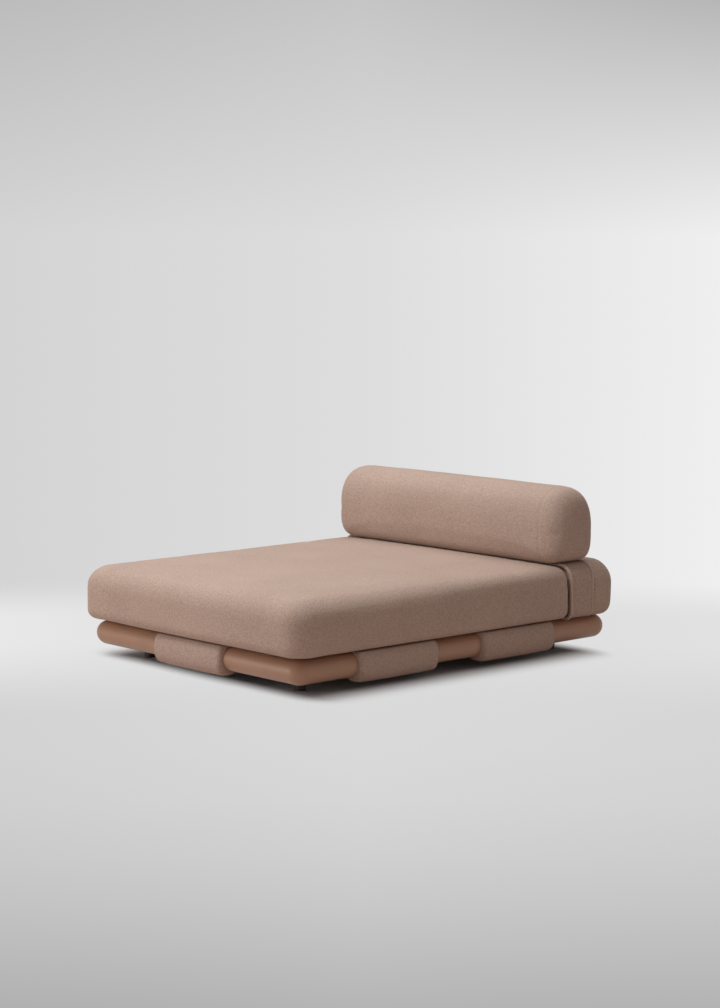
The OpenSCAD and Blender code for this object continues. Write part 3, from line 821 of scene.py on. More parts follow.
def plan_ring(
    half: float,
    front: float,
    rear: float,
    r_front: float,
    r_rear: float,
    z: float,
    draw: float,
) -> np.ndarray:
    """Outline of a cushion at one height, whose sides draw in towards its corners.

    Args:
        half: Half its width.
        front: Its front.
        rear: Its rear.
        r_front: Radius of the front corners.
        r_rear: Radius of the rear corners.
        z: Height.
        draw: How far the sides draw in.

    Returns:
        Points in order round the outline.
    """
    corners = [
        (half - r_rear, rear - r_rear, r_rear),
        (-half + r_rear, rear - r_rear, r_rear),
        (-half + r_front, front + r_front, r_front),
        (half - r_front, front + r_front, r_front),
    ]
    pts = []
    for q, (cx, cy, r) in enumerate(corners):
        for j in range(PLAN_ARC + 1):
            a = math.radians(90 * q + 90 * j / PLAN_ARC)
            pts.append((cx + r * math.cos(a), cy + r * math.sin(a)))
        nx, ny, nr = corners[(q + 1) % 4]
        a = math.radians(90 * (q + 1))
        here = np.array([cx + r * math.cos(a), cy + r * math.sin(a)])
        there = np.array([nx + nr * math.cos(a), ny + nr * math.sin(a)])
        between = range(1, PLAN_SIDE + 1)
        pts += [tuple(here + (there - here) * j / (PLAN_SIDE + 1)) for j in between]
    p = np.array(pts)
    middle, reach = (front + rear) / 2, (rear - front) / 2
    behind = p[:, 1] > middle
    along, across = p[:, 1] - middle, p[:, 0] / half
    # The sides draw in less in the rear half, and the rear edge stays straight
    x = p[:, 0] * (1 - np.where(behind, 0.4, 1.0) * draw / half * (along / reach) ** 2)
    y = np.where(behind, p[:, 1], middle + along * (1 - draw / reach * across**2))
    return np.column_stack([x, y, np.full(len(p), z)])


# The joint between the seat and the band: where it starts to lean, its top, and how far it leans
JOINT_START = 0.276
JOINT_TOP = 0.4223
JOINT_LEAN = 0.010


def band_lean(z: np.ndarray) -> np.ndarray:
    """How far the joint between the seat and the band leans towards the foot end at a height."""
    share = (np.minimum(z, JOINT_TOP) - JOINT_START) / (JOINT_TOP - JOINT_START)
    return -JOINT_LEAN * np.clip(share, 0, None) ** 2


def side_rows(
    z0: float, z1: float, r_top: float, r_bottom: float, crown: float, deep: Sequence[tuple]
) -> list[tuple]:
    """Rows of a cushion from its underside up.

    Args:
        z0: Underside.
        z1: Highest point of the crown.
        r_top: Radius along the top edge.
        r_bottom: Radius along the bottom edge.
        crown: Rise of the crown.
        deep: Pairs of extra inset and share of the crown.

    Returns:
        Pairs of inset from the widest outline, and height.
    """
    rows = [
        (r_bottom * (1 - math.sin(a)), z0 + r_bottom * (1 - math.cos(a)))
        for a in np.radians(np.linspace(0, 90, 9))
    ]
    low, high = z0 + r_bottom, z1 - crown - r_top
    rows += [(0.0, low + (high - low) * t) for t in (0.25, 0.5, 0.75)]
    rows += [
        (r_top * (1 - math.cos(a)), high + r_top * math.sin(a))
        for a in np.radians(np.linspace(0, 90, 15))
    ]
    rows += [(r_top + inset, z1 - crown + crown * share) for inset, share in deep]
    return rows


# The upper edges at the joint are this much fuller than a circle
UPPER_FULL = 0.12
# Longest step along the flat sides of the head cushion's section
LOOP_STEP = 0.03


def rounded_loop(
    half: float,
    low: float,
    high: float,
    r_top: float,
    r_bottom: float,
    steps: int,
    full: float,
) -> tuple[np.ndarray, np.ndarray]:
    """Run once round the head cushion's section.

    Args:
        half: Half its width.
        low: Its underside.
        high: Its top.
        r_top: Radius of the upper corners.
        r_bottom: Radius of the lower corners.
        steps: Steps in each corner.
        full: How much fuller than a circle the upper corners are, as a share of their radius.

    Returns:
        Points in X and Z, and the outward direction at each.
    """
    pts, outs = [], []
    centres = [
        (half - r_top, high - r_top, r_top),
        (-half + r_top, high - r_top, r_top),
        (-half + r_bottom, low + r_bottom, r_bottom),
        (half - r_bottom, low + r_bottom, r_bottom),
    ]
    for q, (cx, cz, r) in enumerate(centres):
        for j in range(steps + 1):
            a = math.radians(90 * q + 90 * j / steps)
            d = np.array([math.cos(a), math.sin(a)])
            bulge = 1 + (full * math.sin(2 * a) ** 2 if q < 2 else 0.0)
            pts.append(np.array([cx, cz]) + r * d * bulge)
            outs.append(d)
        nx, nz, nr = centres[(q + 1) % 4]
        a = math.radians(90 * (q + 1))
        d = np.array([math.cos(a), math.sin(a)])
        here, there = np.array([cx, cz]) + r * d, np.array([nx, nz]) + nr * d
        between = max(2, int(np.linalg.norm(there - here) / LOOP_STEP))
        for j in range(1, between):
            pts.append(here + (there - here) * j / between)
            outs.append(d)
    return np.array(pts), np.array(outs)


@dataclass
class SeatCushion:
    """The thick loose seat cushion, a little fuller in the middle of each side."""

    half: float = 0.786
    front: float = -1.0
    rear: float = 0.660
    underside: float = 0.1753
    top: float = 0.4425
    r_top: float = 0.092
    r_bottom: float = 0.036
    # Front corners in plan, the least that they get towards the top's middle, and rear corners
    r_corner: float = 0.098
    r_least: float = 0.04
    r_rear: float = 0.010
    crown: float = 0.0122
    # How far the sides draw in from their middle to the corners
    draw: float = 0.005
    # The bolster's base presses the rear down: from where, over what run, and to what height
    press_from: float = 0.578
    press_run: float = 0.027
    press_z: float = 0.4332
    # The form is made this much small, because the cloth swells it
    shrink: float = 0.004
    # How far the skin may pass the top
    spare: float = 0.001
    # The cloth's quads, and the most that it swells
    voxel: float = 0.012
    puff: float = 0.006
    # Depth, length and seed of the slow waves in the skin
    waves: tuple[float, float, float] = (0.0022, 0.34, 3.1)
    # Pairs of extra inset and share of the crown, from the top's edge to its middle
    dome: tuple[tuple[float, float], ...] = (
        (0.03, 0.17),
        (0.06, 0.32),
        (0.11, 0.52),
        (0.18, 0.7),
        (0.28, 0.85),
        (0.38, 0.94),
        (0.5, 0.98),
    )

    def build(self) -> bpy.types.Object:
        """Build, inflate and dress the cushion.

        Returns:
            The finished piece.
        """
        rows = side_rows(
            self.underside + 0.0005,
            self.top - self.shrink,
            self.r_top,
            self.r_bottom,
            self.crown,
            self.dome,
        )
        rings = [
            plan_ring(
                self.half - self.shrink - inset,
                self.front + self.shrink + inset,
                self.rear + 0.0015 + float(band_lean(np.array(z))) - inset * 0.1,
                max(self.r_corner - inset * 0.6, self.r_least),
                self.r_rear + inset * 0.25,
                z,
                self.draw,
            )
            for inset, z in rows
        ]
        piece = loft("seat_cushion_cover", rings)
        even_skin(piece, self.voxel, 3)
        inflate(piece, self.puff)
        undulate(piece, *self.waves)
        co = coords(piece)
        middle, roof = (self.underside + self.top) / 2, self.top + self.spare
        stretch(co, 0, 0.0, -self.half + 0.001, self.half - 0.001)
        stretch(co, 1, 0.0, self.front + 0.003, float(co[:, 1].max()))
        stretch(co, 2, middle, self.underside, self.top)
        co[:, 2] = np.clip(co[:, 2], self.underside, roof)
        co[:, 1] = np.minimum(co[:, 1], self.rear + band_lean(co[:, 2]) + 0.003)
        co[:, 1] = np.maximum(co[:, 1], self.front - 0.002)
        co = self.fill_edges(co)
        # The bolster's flat base presses the rear of the seat down
        pressed = smoothstep((co[:, 1] - self.press_from) / self.press_run)
        co[:, 2] = np.minimum(co[:, 2], roof - pressed * (roof - self.press_z))
        set_coords(piece, co)
        refine(piece)
        dress(piece, Finish.CUSHION)
        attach(piece, "seat")
        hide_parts("seat_cushion")
        return piece

    def fill_edges(self, co: np.ndarray) -> np.ndarray:
        """Make the upper side edges fuller towards the head end.

        Args:
            co: The skin's points.

        Returns:
            The moved points.
        """
        cx, cz = self.half - self.r_top, self.top - self.crown - self.r_top
        dx, dz = np.abs(co[:, 0]) - cx, co[:, 2] - cz
        corner = (dx > 0) & (dz > 0)
        angle = np.arctan2(np.maximum(dz, 1e-6), np.maximum(dx, 1e-6))
        share = UPPER_FULL * smoothstep(co[:, 1] + 0.5) * np.sin(2 * angle) ** 2
        grow = np.where(corner, share, 0.0)
        wide = np.minimum(cx + dx * (1 + grow), self.half + 0.002)
        tall = np.minimum(cz + dz * (1 + grow), self.top + self.spare)
        out = co.copy()
        out[:, 0] = np.sign(co[:, 0]) * np.where(corner, wide, np.abs(co[:, 0]))
        out[:, 2] = np.where(corner, tall, co[:, 2])
        return out


@dataclass
class HeadCushion:
    """The shorter loose cushion at the head, which swells into a roll behind its band."""

    half: float = 0.776
    front: float = 0.669
    rear: float = 0.9956
    low: float = 0.1863
    high: float = 0.4223
    r_top: float = 0.084
    r_bottom: float = 0.034
    band_end: float = 0.819
    # The skin lies this far inside the band, up to this far before the band's end, and then
    # swells out over this run by this much
    inside: float = 0.001
    overlap: float = 0.006
    emerge: float = 0.034
    swell: float = 0.0105
    # How far the rear end's rounding takes in its sides, and its top and underside
    end: float = 0.086
    end_z: float = 0.088
    # Behind the band: how far the sides draw in below, and how much rounder the top edges get
    tuck: float = 0.006
    soften: float = 0.012
    # The cloth's quads, and the most that it swells
    voxel: float = 0.010
    puff: float = 0.004
    # Depth, length and seed of the slow waves in the skin
    waves: tuple[float, float, float] = (0.0016, 0.22, 7.7)

    def ring(self, y: float, t: float, share: float, free: float) -> np.ndarray:
        """Section of the cushion at one place along Y.

        Args:
            y: The place.
            t: How far the section is swollen.
            share: Share of the rear end's rounding, 0 where it starts.
            free: How far the section is free of the band, from 0 to 1.

        Returns:
            Points round the section.
        """
        pts, outs = rounded_loop(
            self.half,
            self.low,
            self.high,
            self.r_top + self.soften * free,
            self.r_bottom - 0.8 * self.soften * free,
            14,
            UPPER_FULL * (1 - free),
        )
        p = pts + outs * t
        middle, tall = (self.low + self.high) / 2, (self.high - self.low) / 2
        x = p[:, 0] * (1 - share * self.end / (self.half + t))
        # Behind the band the sides draw in towards the underside
        deep = np.clip((middle + 0.02 - p[:, 1]) / (tall + 0.02), 0, 1)
        x = x * (1 - free * self.tuck * deep**2 / self.half)
        z = middle + (p[:, 1] - middle) * (1 - share * self.end_z / (tall + t))
        return np.column_stack([x, np.full(len(p), y), z])

    def build(self) -> bpy.types.Object:
        """Build, inflate and dress the cushion.

        Returns:
            The finished piece.
        """
        inside, hidden = self.inside, self.band_end - self.overlap
        stations = [(self.front, -2 * inside, 0.0, 0.0)]
        stations += [(y, -inside, 0.0, 0.0) for y in np.linspace(self.front + 0.012, hidden, 9)]
        for t in np.linspace(0.1, 1, 6):
            # Behind the band the cover swells out at once
            grown = self.swell * math.sin(math.pi / 2 * t) ** 0.7
            stations.append((hidden + self.emerge * t, grown - inside, 0.0, t))
        full = self.rear - self.end
        stations += [(y, self.swell - inside, 0.0, 1.0) for y in np.linspace(0.862, full, 4)[:-1]]
        for a in np.radians(np.linspace(0, 90, 14)):
            y, turn = full + (self.end - inside) * math.sin(a), 1 - math.cos(a)
            stations.append((y, self.swell - inside, turn, 1 - 0.5 * turn))
        stations.append((self.rear - 0.0008, self.swell, 1.25, 0.5))
        piece = loft("head_cushion_cover", [self.ring(*s) for s in reversed(stations)])
        even_skin(piece, self.voxel, 3)
        inflate(piece, self.puff)
        undulate(piece, *self.waves)
        co = coords(piece)
        behind = smoothstep((co[:, 1] - self.band_end + 0.004) / 0.02)
        grow = -0.0004 + behind * (self.swell + 0.0006)
        co[:, 0] = np.clip(co[:, 0], -self.half - grow, self.half + grow)
        co[:, 2] = np.clip(co[:, 2], self.low - 0.0108 * behind, self.high + grow)
        co[:, 1] = np.clip(co[:, 1], self.front, self.rear)
        set_coords(piece, co)
        refine(piece)
        dress(piece, Finish.CUSHION)
        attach(piece, "head")
        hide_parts("head_cushion")
        return piece


@dataclass
class HeadBand:
    """The wide band round the head cushion: a padded hem in front, a turned edge behind."""

    half: float = 0.776
    front: float = 0.665
    width: float = 0.154
    low: float = 0.1863
    high: float = 0.4223
    r_top: float = 0.084
    r_bottom: float = 0.034
    thick: float = 0.011
    hem: float = 0.0135
    lean: float = 0.010
    floor: float = 0.1753
    limit: float = 0.787
    ceiling: float = 0.4333
    # Depth, length and seed of the slow waves in the skin
    waves: tuple[float, float, float] = (0.0007, 0.11, 5.3)

    def loop(self) -> tuple[np.ndarray, np.ndarray]:
        """Run once round the cushion under the band.

        Returns:
            Points in X and Z, and the outward direction at each.
        """
        return rounded_loop(
            self.half, self.low, self.high, self.r_top, self.r_bottom, 16, UPPER_FULL
        )

    def leaning(self, z: np.ndarray) -> np.ndarray:
        """How far the front edge leans forward at a height."""
        start = self.low + 0.09
        return -self.lean * np.clip((z - start) / (self.high - start), 0, None) ** 2

    def section(self) -> list[tuple[float, float]]:
        """Section of the band from the front edge back and home along its inside.

        Returns:
            Pairs of place along the width and height over the cushion.
        """
        h, t, w = self.hem, self.thick * 0.72, self.width
        nose = 0.0032
        hem = [(0.0010, 0.0008), (0.0, h * 0.4)]
        hem += [
            (nose * (1 - math.cos(a)), h * 0.80 + nose * math.sin(a))
            for a in np.radians(np.linspace(0, 90, 6))
        ]
        # The padding ends at a sewn dip, and the band is flat behind it
        hem += [(h * 0.60, h * 1.02), (h * 0.90, h * 0.98), (h * 1.15, h * 0.86)]
        dip = [(h * 1.30, t * 0.98), (h * 1.45, t * 0.90), (h * 1.65, t * 1.0), (h * 2.0, t * 1.08)]
        flat = [(y, t * 1.08) for y in np.linspace(0.045, w - 0.03, 9)]
        # The rear edge is turned in, so it has a dip and a bead of its own
        edge = [
            (w - 0.020, t * 1.05),
            (w - 0.0145, t * 0.98),
            (w - 0.0125, t * 0.88),
            (w - 0.0105, t * 1.0),
            (w - 0.0065, t * 1.22),
            (w - 0.0030, t * 1.18),
            (w - 0.0008, t * 0.8),
            (w, t * 0.3),
            (w - 0.0008, 0.0006),
        ]
        inner = [(y, 0.0005) for y in np.linspace(w - 0.02, 0.004, 6)]
        return hem + dip + flat + edge + inner

    def row(
        self,
        y: float,
        t: float,
        shift: float = 0.0,
        wide: float = 0.0,
        deep: float = 0.0,
        tall: float = 0.0,
    ) -> np.ndarray:
        """Run once round the band at one place along its width.

        Args:
            y: Place along the width.
            t: Height over the cushion.
            shift: Extra distance towards the head end, which the lean leaves alone.
            wide: How far past the band's widest line the row may go.
            deep: How far above the deck it stays.
            tall: How far over the band's top it may go.

        Returns:
            Points in order round the band.
        """
        pts, outs = self.loop()
        p = pts + outs * t
        x = np.clip(p[:, 0], -self.limit - wide, self.limit + wide)
        z = np.clip(p[:, 1], self.floor + deep, self.ceiling + tall)
        lean = self.leaning(pts[:, 1]) * (1 - y / self.width)
        return np.column_stack([x, self.front + y + shift + lean, z])

    def build(self) -> list[bpy.types.Object]:
        """Build the band, its stitches and its piping.

        Returns:
            The band, two rows of stitches and two lengths of piping.
        """
        rows = [self.row(y, t) for y, t in self.section()]
        faces = grid_faces(len(rows), len(rows[0]), closed=True)
        band = make_mesh("head_band_cover", np.vstack(rows), faces)
        band.data.flip_normals()
        undulate(band, *self.waves)
        co = coords(band)
        co[:, 0] = np.clip(co[:, 0], -self.limit, self.limit)
        co[:, 2] = np.clip(co[:, 2], self.floor, self.ceiling)
        set_coords(band, co)
        refine(band)
        dress(band, Finish.STRAP)
        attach(band, "head")
        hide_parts("head_band")
        inside = 0.001
        stitches = [
            stitch_row(name, self.row(y, t, 0.0, -inside, inside, -inside), "head")
            for name, y, t in (
                ("band_hem_stitches", self.hem * 1.42, self.thick * 0.62),
                ("band_edge_stitches", self.width - 0.0125, self.thick * 0.63),
            )
        ]
        piping = [
            self.pipe("band_front_piping", 0.0060, self.hem * 0.98, 0.0034),
            self.pipe("band_rear_piping", self.width - 0.0040, self.thick * 0.88, 0.0026),
        ]
        return [band, *stitches, *piping]

    def pipe(self, name: str, y: float, t: float, radius: float) -> bpy.types.Object:
        """Lay thin cloth piping round the band, in a lighter tone that paints a highlight along its
        edges.

        Args:
            name: The piece's name.
            y: Place along the band's width.
            t: Height over the cushion.
            radius: Radius of the piping.

        Returns:
            The piping.
        """
        rows = [
            self.row(y, t + radius * math.sin(a), radius * math.cos(a), 0.002, 0.0, 0.0006)
            for a in (2 * math.pi * k / 8 for k in range(8))
        ]
        faces = grid_faces(len(rows), len(rows[0]), closed=True)
        piece = make_mesh(name, np.vstack(rows), faces)
        refine(piece)
        # Its lighter cloth is a painted highlight
        dress(piece, Finish.PIPING_HIGHLIGHT)
        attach(piece, "head")
        return piece


# Sewing thread: length of a stitch, space between two stitches, and radius
STITCH_LENGTH = 0.0048
STITCH_GAP = 0.0032
THREAD_RADIUS = 0.00055
# Pairs of place along a stitch and share of the thread's radius: its ends sink into the cloth
STITCH_FORM = ((0.0, 0.35), (0.18, 1.0), (0.82, 1.0), (1.0, 0.35))
# Any direction that no stitch runs along
ASKEW = (0.31, 0.57, 0.76)


def stitch_row(name: str, line: np.ndarray, body: str) -> bpy.types.Object:
    """Lay a row of thread stitches along a closed line.

    Args:
        name: The piece's name.
        line: Points of the line, which runs back to its start.
        body: The body that the row rides on.

    Returns:
        All the stitches as one piece.
    """
    path = np.vstack([line, line[:1]])
    steps = np.linalg.norm(np.diff(path, axis=0), axis=1)
    run = np.concatenate([[0], np.cumsum(steps)])
    count = int(run[-1] / (STITCH_LENGTH + STITCH_GAP))
    points, faces = [], []
    for i in range(count):
        start = i * (STITCH_LENGTH + STITCH_GAP)
        here, there = (
            np.array([np.interp(place, run, path[:, axis]) for axis in range(3)])
            for place in (start, start + STITCH_LENGTH)
        )
        along = there - here
        size = np.linalg.norm(along)
        if size < 1e-6:
            continue
        along /= size
        side = np.cross(along, ASKEW)
        side /= np.linalg.norm(side)
        up = np.cross(along, side)
        base = len(points)
        for t, share in STITCH_FORM:
            for a in (math.pi * k / 3 for k in range(6)):
                out = (side * math.cos(a) + up * math.sin(a)) * THREAD_RADIUS * share
                points.append(here + along * size * t + out)
        faces += grid_faces(len(STITCH_FORM), 6, base)
        faces.append(tuple(base + k for k in range(5, -1, -1)))
        faces.append(tuple(len(points) - 6 + k for k in range(6)))
    piece = make_mesh(name, np.array(points), faces)
    dress(piece, Finish.THREAD)
    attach(piece, body)
    return piece


@dataclass
class BackBolster:
    """The long loose bolster: a full rounded section, flat where it rests, with sewn end caps."""

    middle_y: float = 0.719
    depth: float = 0.308
    height: float = 0.354
    wide_at: float = 0.150
    base: float = 0.4336
    tip: float = 0.779
    end: float = 0.117
    flat: float = 0.012
    arch: float = 0.005
    # Powers of the section's curve, where 1 is an ellipse and less is squarer: depth and
    # height over the widest line, and both below it
    side_power: float = 0.86
    top_power: float = 0.84
    base_power: float = 0.50
    # The form is made this much small, because the cloth swells it
    shrink: float = 0.003
    # The seam of each end cap: how deep it is pressed in, and how wide
    seam_dip: float = 0.0032
    seam_width: float = 0.0055
    # The cloth's quads, and the most that it swells
    voxel: float = 0.010
    puff: float = 0.004
    # Depth, length and seed of the slow waves in the skin
    waves: tuple[float, float, float] = (0.0022, 0.26, 1.9)
    # Pairs of share of the end's length and size of the section there: a full dome
    dome: tuple[tuple[float, float], ...] = (
        (0.0, 0.16),
        (0.006, 0.28),
        (0.03, 0.45),
        (0.07, 0.565),
        (0.12, 0.655),
        (0.19, 0.74),
        (0.28, 0.815),
        (0.40, 0.885),
        (0.55, 0.94),
        (0.75, 0.98),
        (1.0, 1.0),
    )

    def outline(self, share: float) -> np.ndarray:
        """Section of the bolster, drawn in towards its widest line.

        Args:
            share: Size of the section, 1 in the middle.

        Returns:
            Offsets in Y and Z.
        """
        a = np.linspace(0, 2 * np.pi, 120, endpoint=False)
        s, c = np.sin(a), np.cos(a)
        top = s >= 0
        power = np.where(top, self.side_power, self.base_power)
        y = self.depth / 2 * np.sign(c) * np.abs(c) ** power
        z = np.where(
            top,
            (self.height - self.wide_at) * np.abs(s) ** self.top_power,
            -(self.wide_at + self.flat) * np.abs(s) ** self.base_power,
        )
        z = np.maximum(z, -self.wide_at)
        return np.column_stack([y * share, z * (share + (1 - share) * 0.10)])

    def build(self) -> bpy.types.Object:
        """Build, inflate and dress the bolster.

        Returns:
            The finished piece.
        """
        left = [(-self.tip + t * self.end, s) for t, s in self.dome]
        straight = self.tip - self.end
        middle = [(x, 1.0) for x in np.linspace(-straight, straight, 40)[1:-1]]
        stations = left + middle + [(-x, s) for x, s in reversed(left)]
        slim, short = 1 - self.shrink / (self.depth / 2), 1 - self.shrink / self.tip
        rings = []
        for x, share in stations:
            p = self.outline(share)
            y = self.middle_y + p[:, 0] * slim
            z = self.base + self.wide_at + np.where(p[:, 1] > 0, p[:, 1] * slim, p[:, 1])
            rings.append(np.column_stack([np.full(len(p), x * short), y, z]))
        piece = loft("bolster_cover", rings)
        piece.data.flip_normals()
        even_skin(piece, self.voxel)
        inflate(piece, self.puff)
        undulate(piece, *self.waves)
        co = coords(piece)
        front, rear = self.middle_y - self.depth / 2, self.middle_y + self.depth / 2
        stretch(co, 0, 0.0, -self.tip, self.tip)
        stretch(co, 1, self.middle_y, front, rear)
        stretch(co, 2, self.base + self.wide_at, float(co[:, 2].min()), self.base + self.height)
        # Its top rises a little towards the middle of its length
        rise = self.arch * np.cos(math.pi / 2 * np.clip(co[:, 0] / self.tip, -1, 1))
        co[:, 2] += rise * np.clip((co[:, 2] - self.base) / self.height, 0, 1)
        co[:, 2] = np.maximum(co[:, 2], self.base)
        set_coords(piece, co)
        refine(piece)
        self.sew_ends(piece)
        dress(piece, Finish.CUSHION)
        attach(piece, "bolster")
        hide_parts("back_bolster")
        return piece

    def sew_ends(self, piece: bpy.types.Object) -> None:
        """Press a shallow seam into the cover where each end cap is sewn on.

        Args:
            piece: The cover.
        """
        co = coords(piece)
        seam = self.tip - self.end * 0.98
        near = np.abs(np.abs(co[:, 0]) - seam)
        dip = self.seam_dip * np.exp(-((near / self.seam_width) ** 2))
        # The flat base stays flat
        dip = np.where(co[:, 2] > self.base + 0.004, dip, 0.0)
        set_coords(piece, co - point_normals(piece) * dip[:, None])


class Side(Enum):
    """The rail that a strap goes round: its outward direction, and the direction along it."""

    FOOT = ((0, -1), (1, 0))
    HEAD = ((0, 1), (-1, 0))
    RIGHT = ((1, 0), (0, 1))
    LEFT = ((-1, 0), (0, -1))


@dataclass
class RailStrap:
    """A padded sleeve wrapped over, round and under a rail."""

    node: str
    side: Side
    rail_h: float = 0.110
    rail_d: float = 0.085
    rail_z: float = 0.060
    pad: float = 0.025
    flat: float = 0.0045
    inner_h: float = 0.080
    # How much fuller the padding is where it turns the rail's upper and lower corner
    plump_upper: float = 0.005
    plump_lower: float = 0.011
    # The thinnest the cloth gets at its side edges
    least: float = 0.0004
    # Places across the strap where its side edge is drawn, up to where it is full
    edge: tuple[float, ...] = (0.0, 0.0005, 0.002, 0.0045, 0.008, 0.0125, 0.018, 0.026)
    edge_power: float = 2.4
    # Depth, length and seed of the slow waves in the cloth
    waves: tuple[float, float, float] = (0.0012, 0.07, 11.3)

    def path(self) -> list[tuple[float, float, float, float, float]]:
        """Run over, round and under the rail.

        Returns:
            Depth from the rail's outer face, height, the outward direction and the thickness there.
        """
        r = self.rail_h / 2
        out = [
            (self.rail_d - 0.002, self.rail_h, 0.0, 1.0, self.flat * 0.5),
            (self.rail_d - 0.004, self.rail_h, 0.0, 1.0, self.flat),
            (self.rail_d - 0.015, self.rail_h, 0.0, 1.0, self.flat),
            (r, self.rail_h, 0.0, 1.0, self.flat),
        ]
        # Degrees round the rail's outer side: 90 is its top, 180 its face, 270 its underside
        for a in np.linspace(93, 270, 44):
            c, s = math.cos(math.radians(a)), math.sin(math.radians(a))
            grow = float(smoothstep(np.array((a - 93) / 44)))
            thin = 1 - 0.12 * float(smoothstep(np.array((a - 232) / 38)))
            plump = self.plump_lower if a > 180 else self.plump_upper
            plump *= math.sin(math.radians(2 * a)) ** 2
            thick = (self.flat + (self.pad - self.flat) * grow) * thin + plump * grow
            out.append((r + r * c, r + r * s, c, s, thick))
        for k, q in enumerate(np.linspace(r + 0.005, self.rail_d - 0.003, 5)):
            out.append((q, 0.0, 0.0, -1.0, self.pad * (0.86 - 0.11 * k)))
        for a in np.linspace(-80, -10, 6):
            c, s = math.cos(math.radians(a)), math.sin(math.radians(a))
            out.append((self.rail_d, 0.0005, c, s, self.pad * 0.39))
        # The inner end gets thinner upwards and ends in a flat edge
        for k, v in enumerate(np.linspace(0.004, self.inner_h, 9)):
            thick = 0.0098 - 0.0042 * k / 8 if k < 8 else 0.002
            out.append((self.rail_d, v, 1.0, 0.0, thick))
        return out

    def section(self, t: float, width: float) -> list[tuple[float, float, float]]:
        """Section of the strap at one place across it, out along its face and back inside.

        Args:
            t: Distance from the first side edge.
            width: Width of the strap.

        Returns:
            The place across, the depth from the rail's outer face, and the height.
        """
        near = min(t, width - t)
        power = self.edge_power
        full = (1 - (1 - min(near / self.edge[-1], 1.0)) ** power) ** (1 / power)
        # The padding swells between the side edges
        swell = 0.93 + 0.07 * math.sin(math.pi * t / width)
        path, outside = self.path(), []
        for q, v, dq, dv, thick in path:
            # Between rail and cushion the cloth is pressed flat
            pressed = thick <= self.flat + 1e-6
            grown = thick * (0.5 + 0.5 * full) if pressed else thick * full * swell
            grown = max(grown, self.least)
            outside.append((t, q + dq * grown, v + dv * grown))
        inside = [(t, q + dq * 0.0002, v + dv * 0.0002) for q, v, dq, dv, _ in reversed(path)]
        return outside + inside

    def build(self) -> bpy.types.Object:
        """Build and dress the strap.

        Returns:
            The finished piece.
        """
        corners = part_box(self.node)
        (ox, oy), (ax, ay) = self.side.value
        start, stop = sorted(corner.x * ax + corner.y * ay for corner in corners)
        # The outer face of the rail is the strap's outer face less its padding
        outer = max(corner.x * ox + corner.y * oy for corner in corners) - self.pad
        width = stop - start
        across = [*self.edge, *np.linspace(0.05, width - 0.05, 14)]
        across += [width - e for e in reversed(self.edge)]
        rows = np.array([self.section(t, width) for t in across])
        along, depth = start + rows[..., 0], outer - rows[..., 1]
        x = along * ax + depth * ox
        y = along * ay + depth * oy
        points = np.stack([x, y, self.rail_z + rows[..., 2]], axis=-1).reshape(-1, 3)
        cols = rows.shape[1]
        faces = grid_faces(len(rows), cols)
        for first, flip in ((0, False), ((len(rows) - 1) * cols, True)):
            for k in range(cols // 2 - 1):
                last = first + cols - 1 - k
                quad = (first + k, first + k + 1, last - 1, last)
                faces.append(quad[::-1] if flip else quad)
        piece = make_mesh(self.node + "_cover", points, faces)
        self.turn_out(piece)
        # Each strap takes its own stretch of the waves
        deep, span, seed = self.waves
        undulate(piece, deep, span, seed + start * 3)
        co = coords(piece)
        co[:, 2] = np.minimum(co[:, 2], self.rail_z + self.rail_h + self.flat)
        set_coords(piece, co)
        refine(piece)
        dress(piece, Finish.STRAP)
        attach(piece, "frame")
        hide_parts(self.node)
        return piece

    def turn_out(self, piece: bpy.types.Object) -> None:
        """Turn the faces outwards whatever side the strap is on.

        Args:
            piece: The strap.
        """
        mesh = piece.data
        mesh.update()
        centre = coords(piece).mean(0)
        score = 0.0
        for poly in mesh.polygons:
            score += poly.normal.dot(Vector(np.array(poly.center) - centre)) * poly.area
        if score < 0:
            mesh.flip_normals()


# The studio


@dataclass(frozen=True)
class SoftLamp:
    """A square softbox: where it hangs, what it points at, its side in metres and its watts."""

    name: str
    place: tuple[float, float, float]
    aim: tuple[float, float, float]
    size: float
    power: float
    colour: tuple[float, float, float]

    def build(self) -> None:
        """Hang the lamp."""
        data = bpy.data.lights.new(self.name, "AREA")
        data.shape = "SQUARE"
        data.size = self.size
        data.energy = self.power
        data.color = self.colour
        lamp = bpy.data.objects.new(self.name, data)
        bpy.context.scene.collection.objects.link(lamp)
        lamp.location = self.place
        facing = Vector(self.aim) - Vector(self.place)
        lamp.rotation_euler = facing.to_track_quat("-Z", "Y").to_euler()


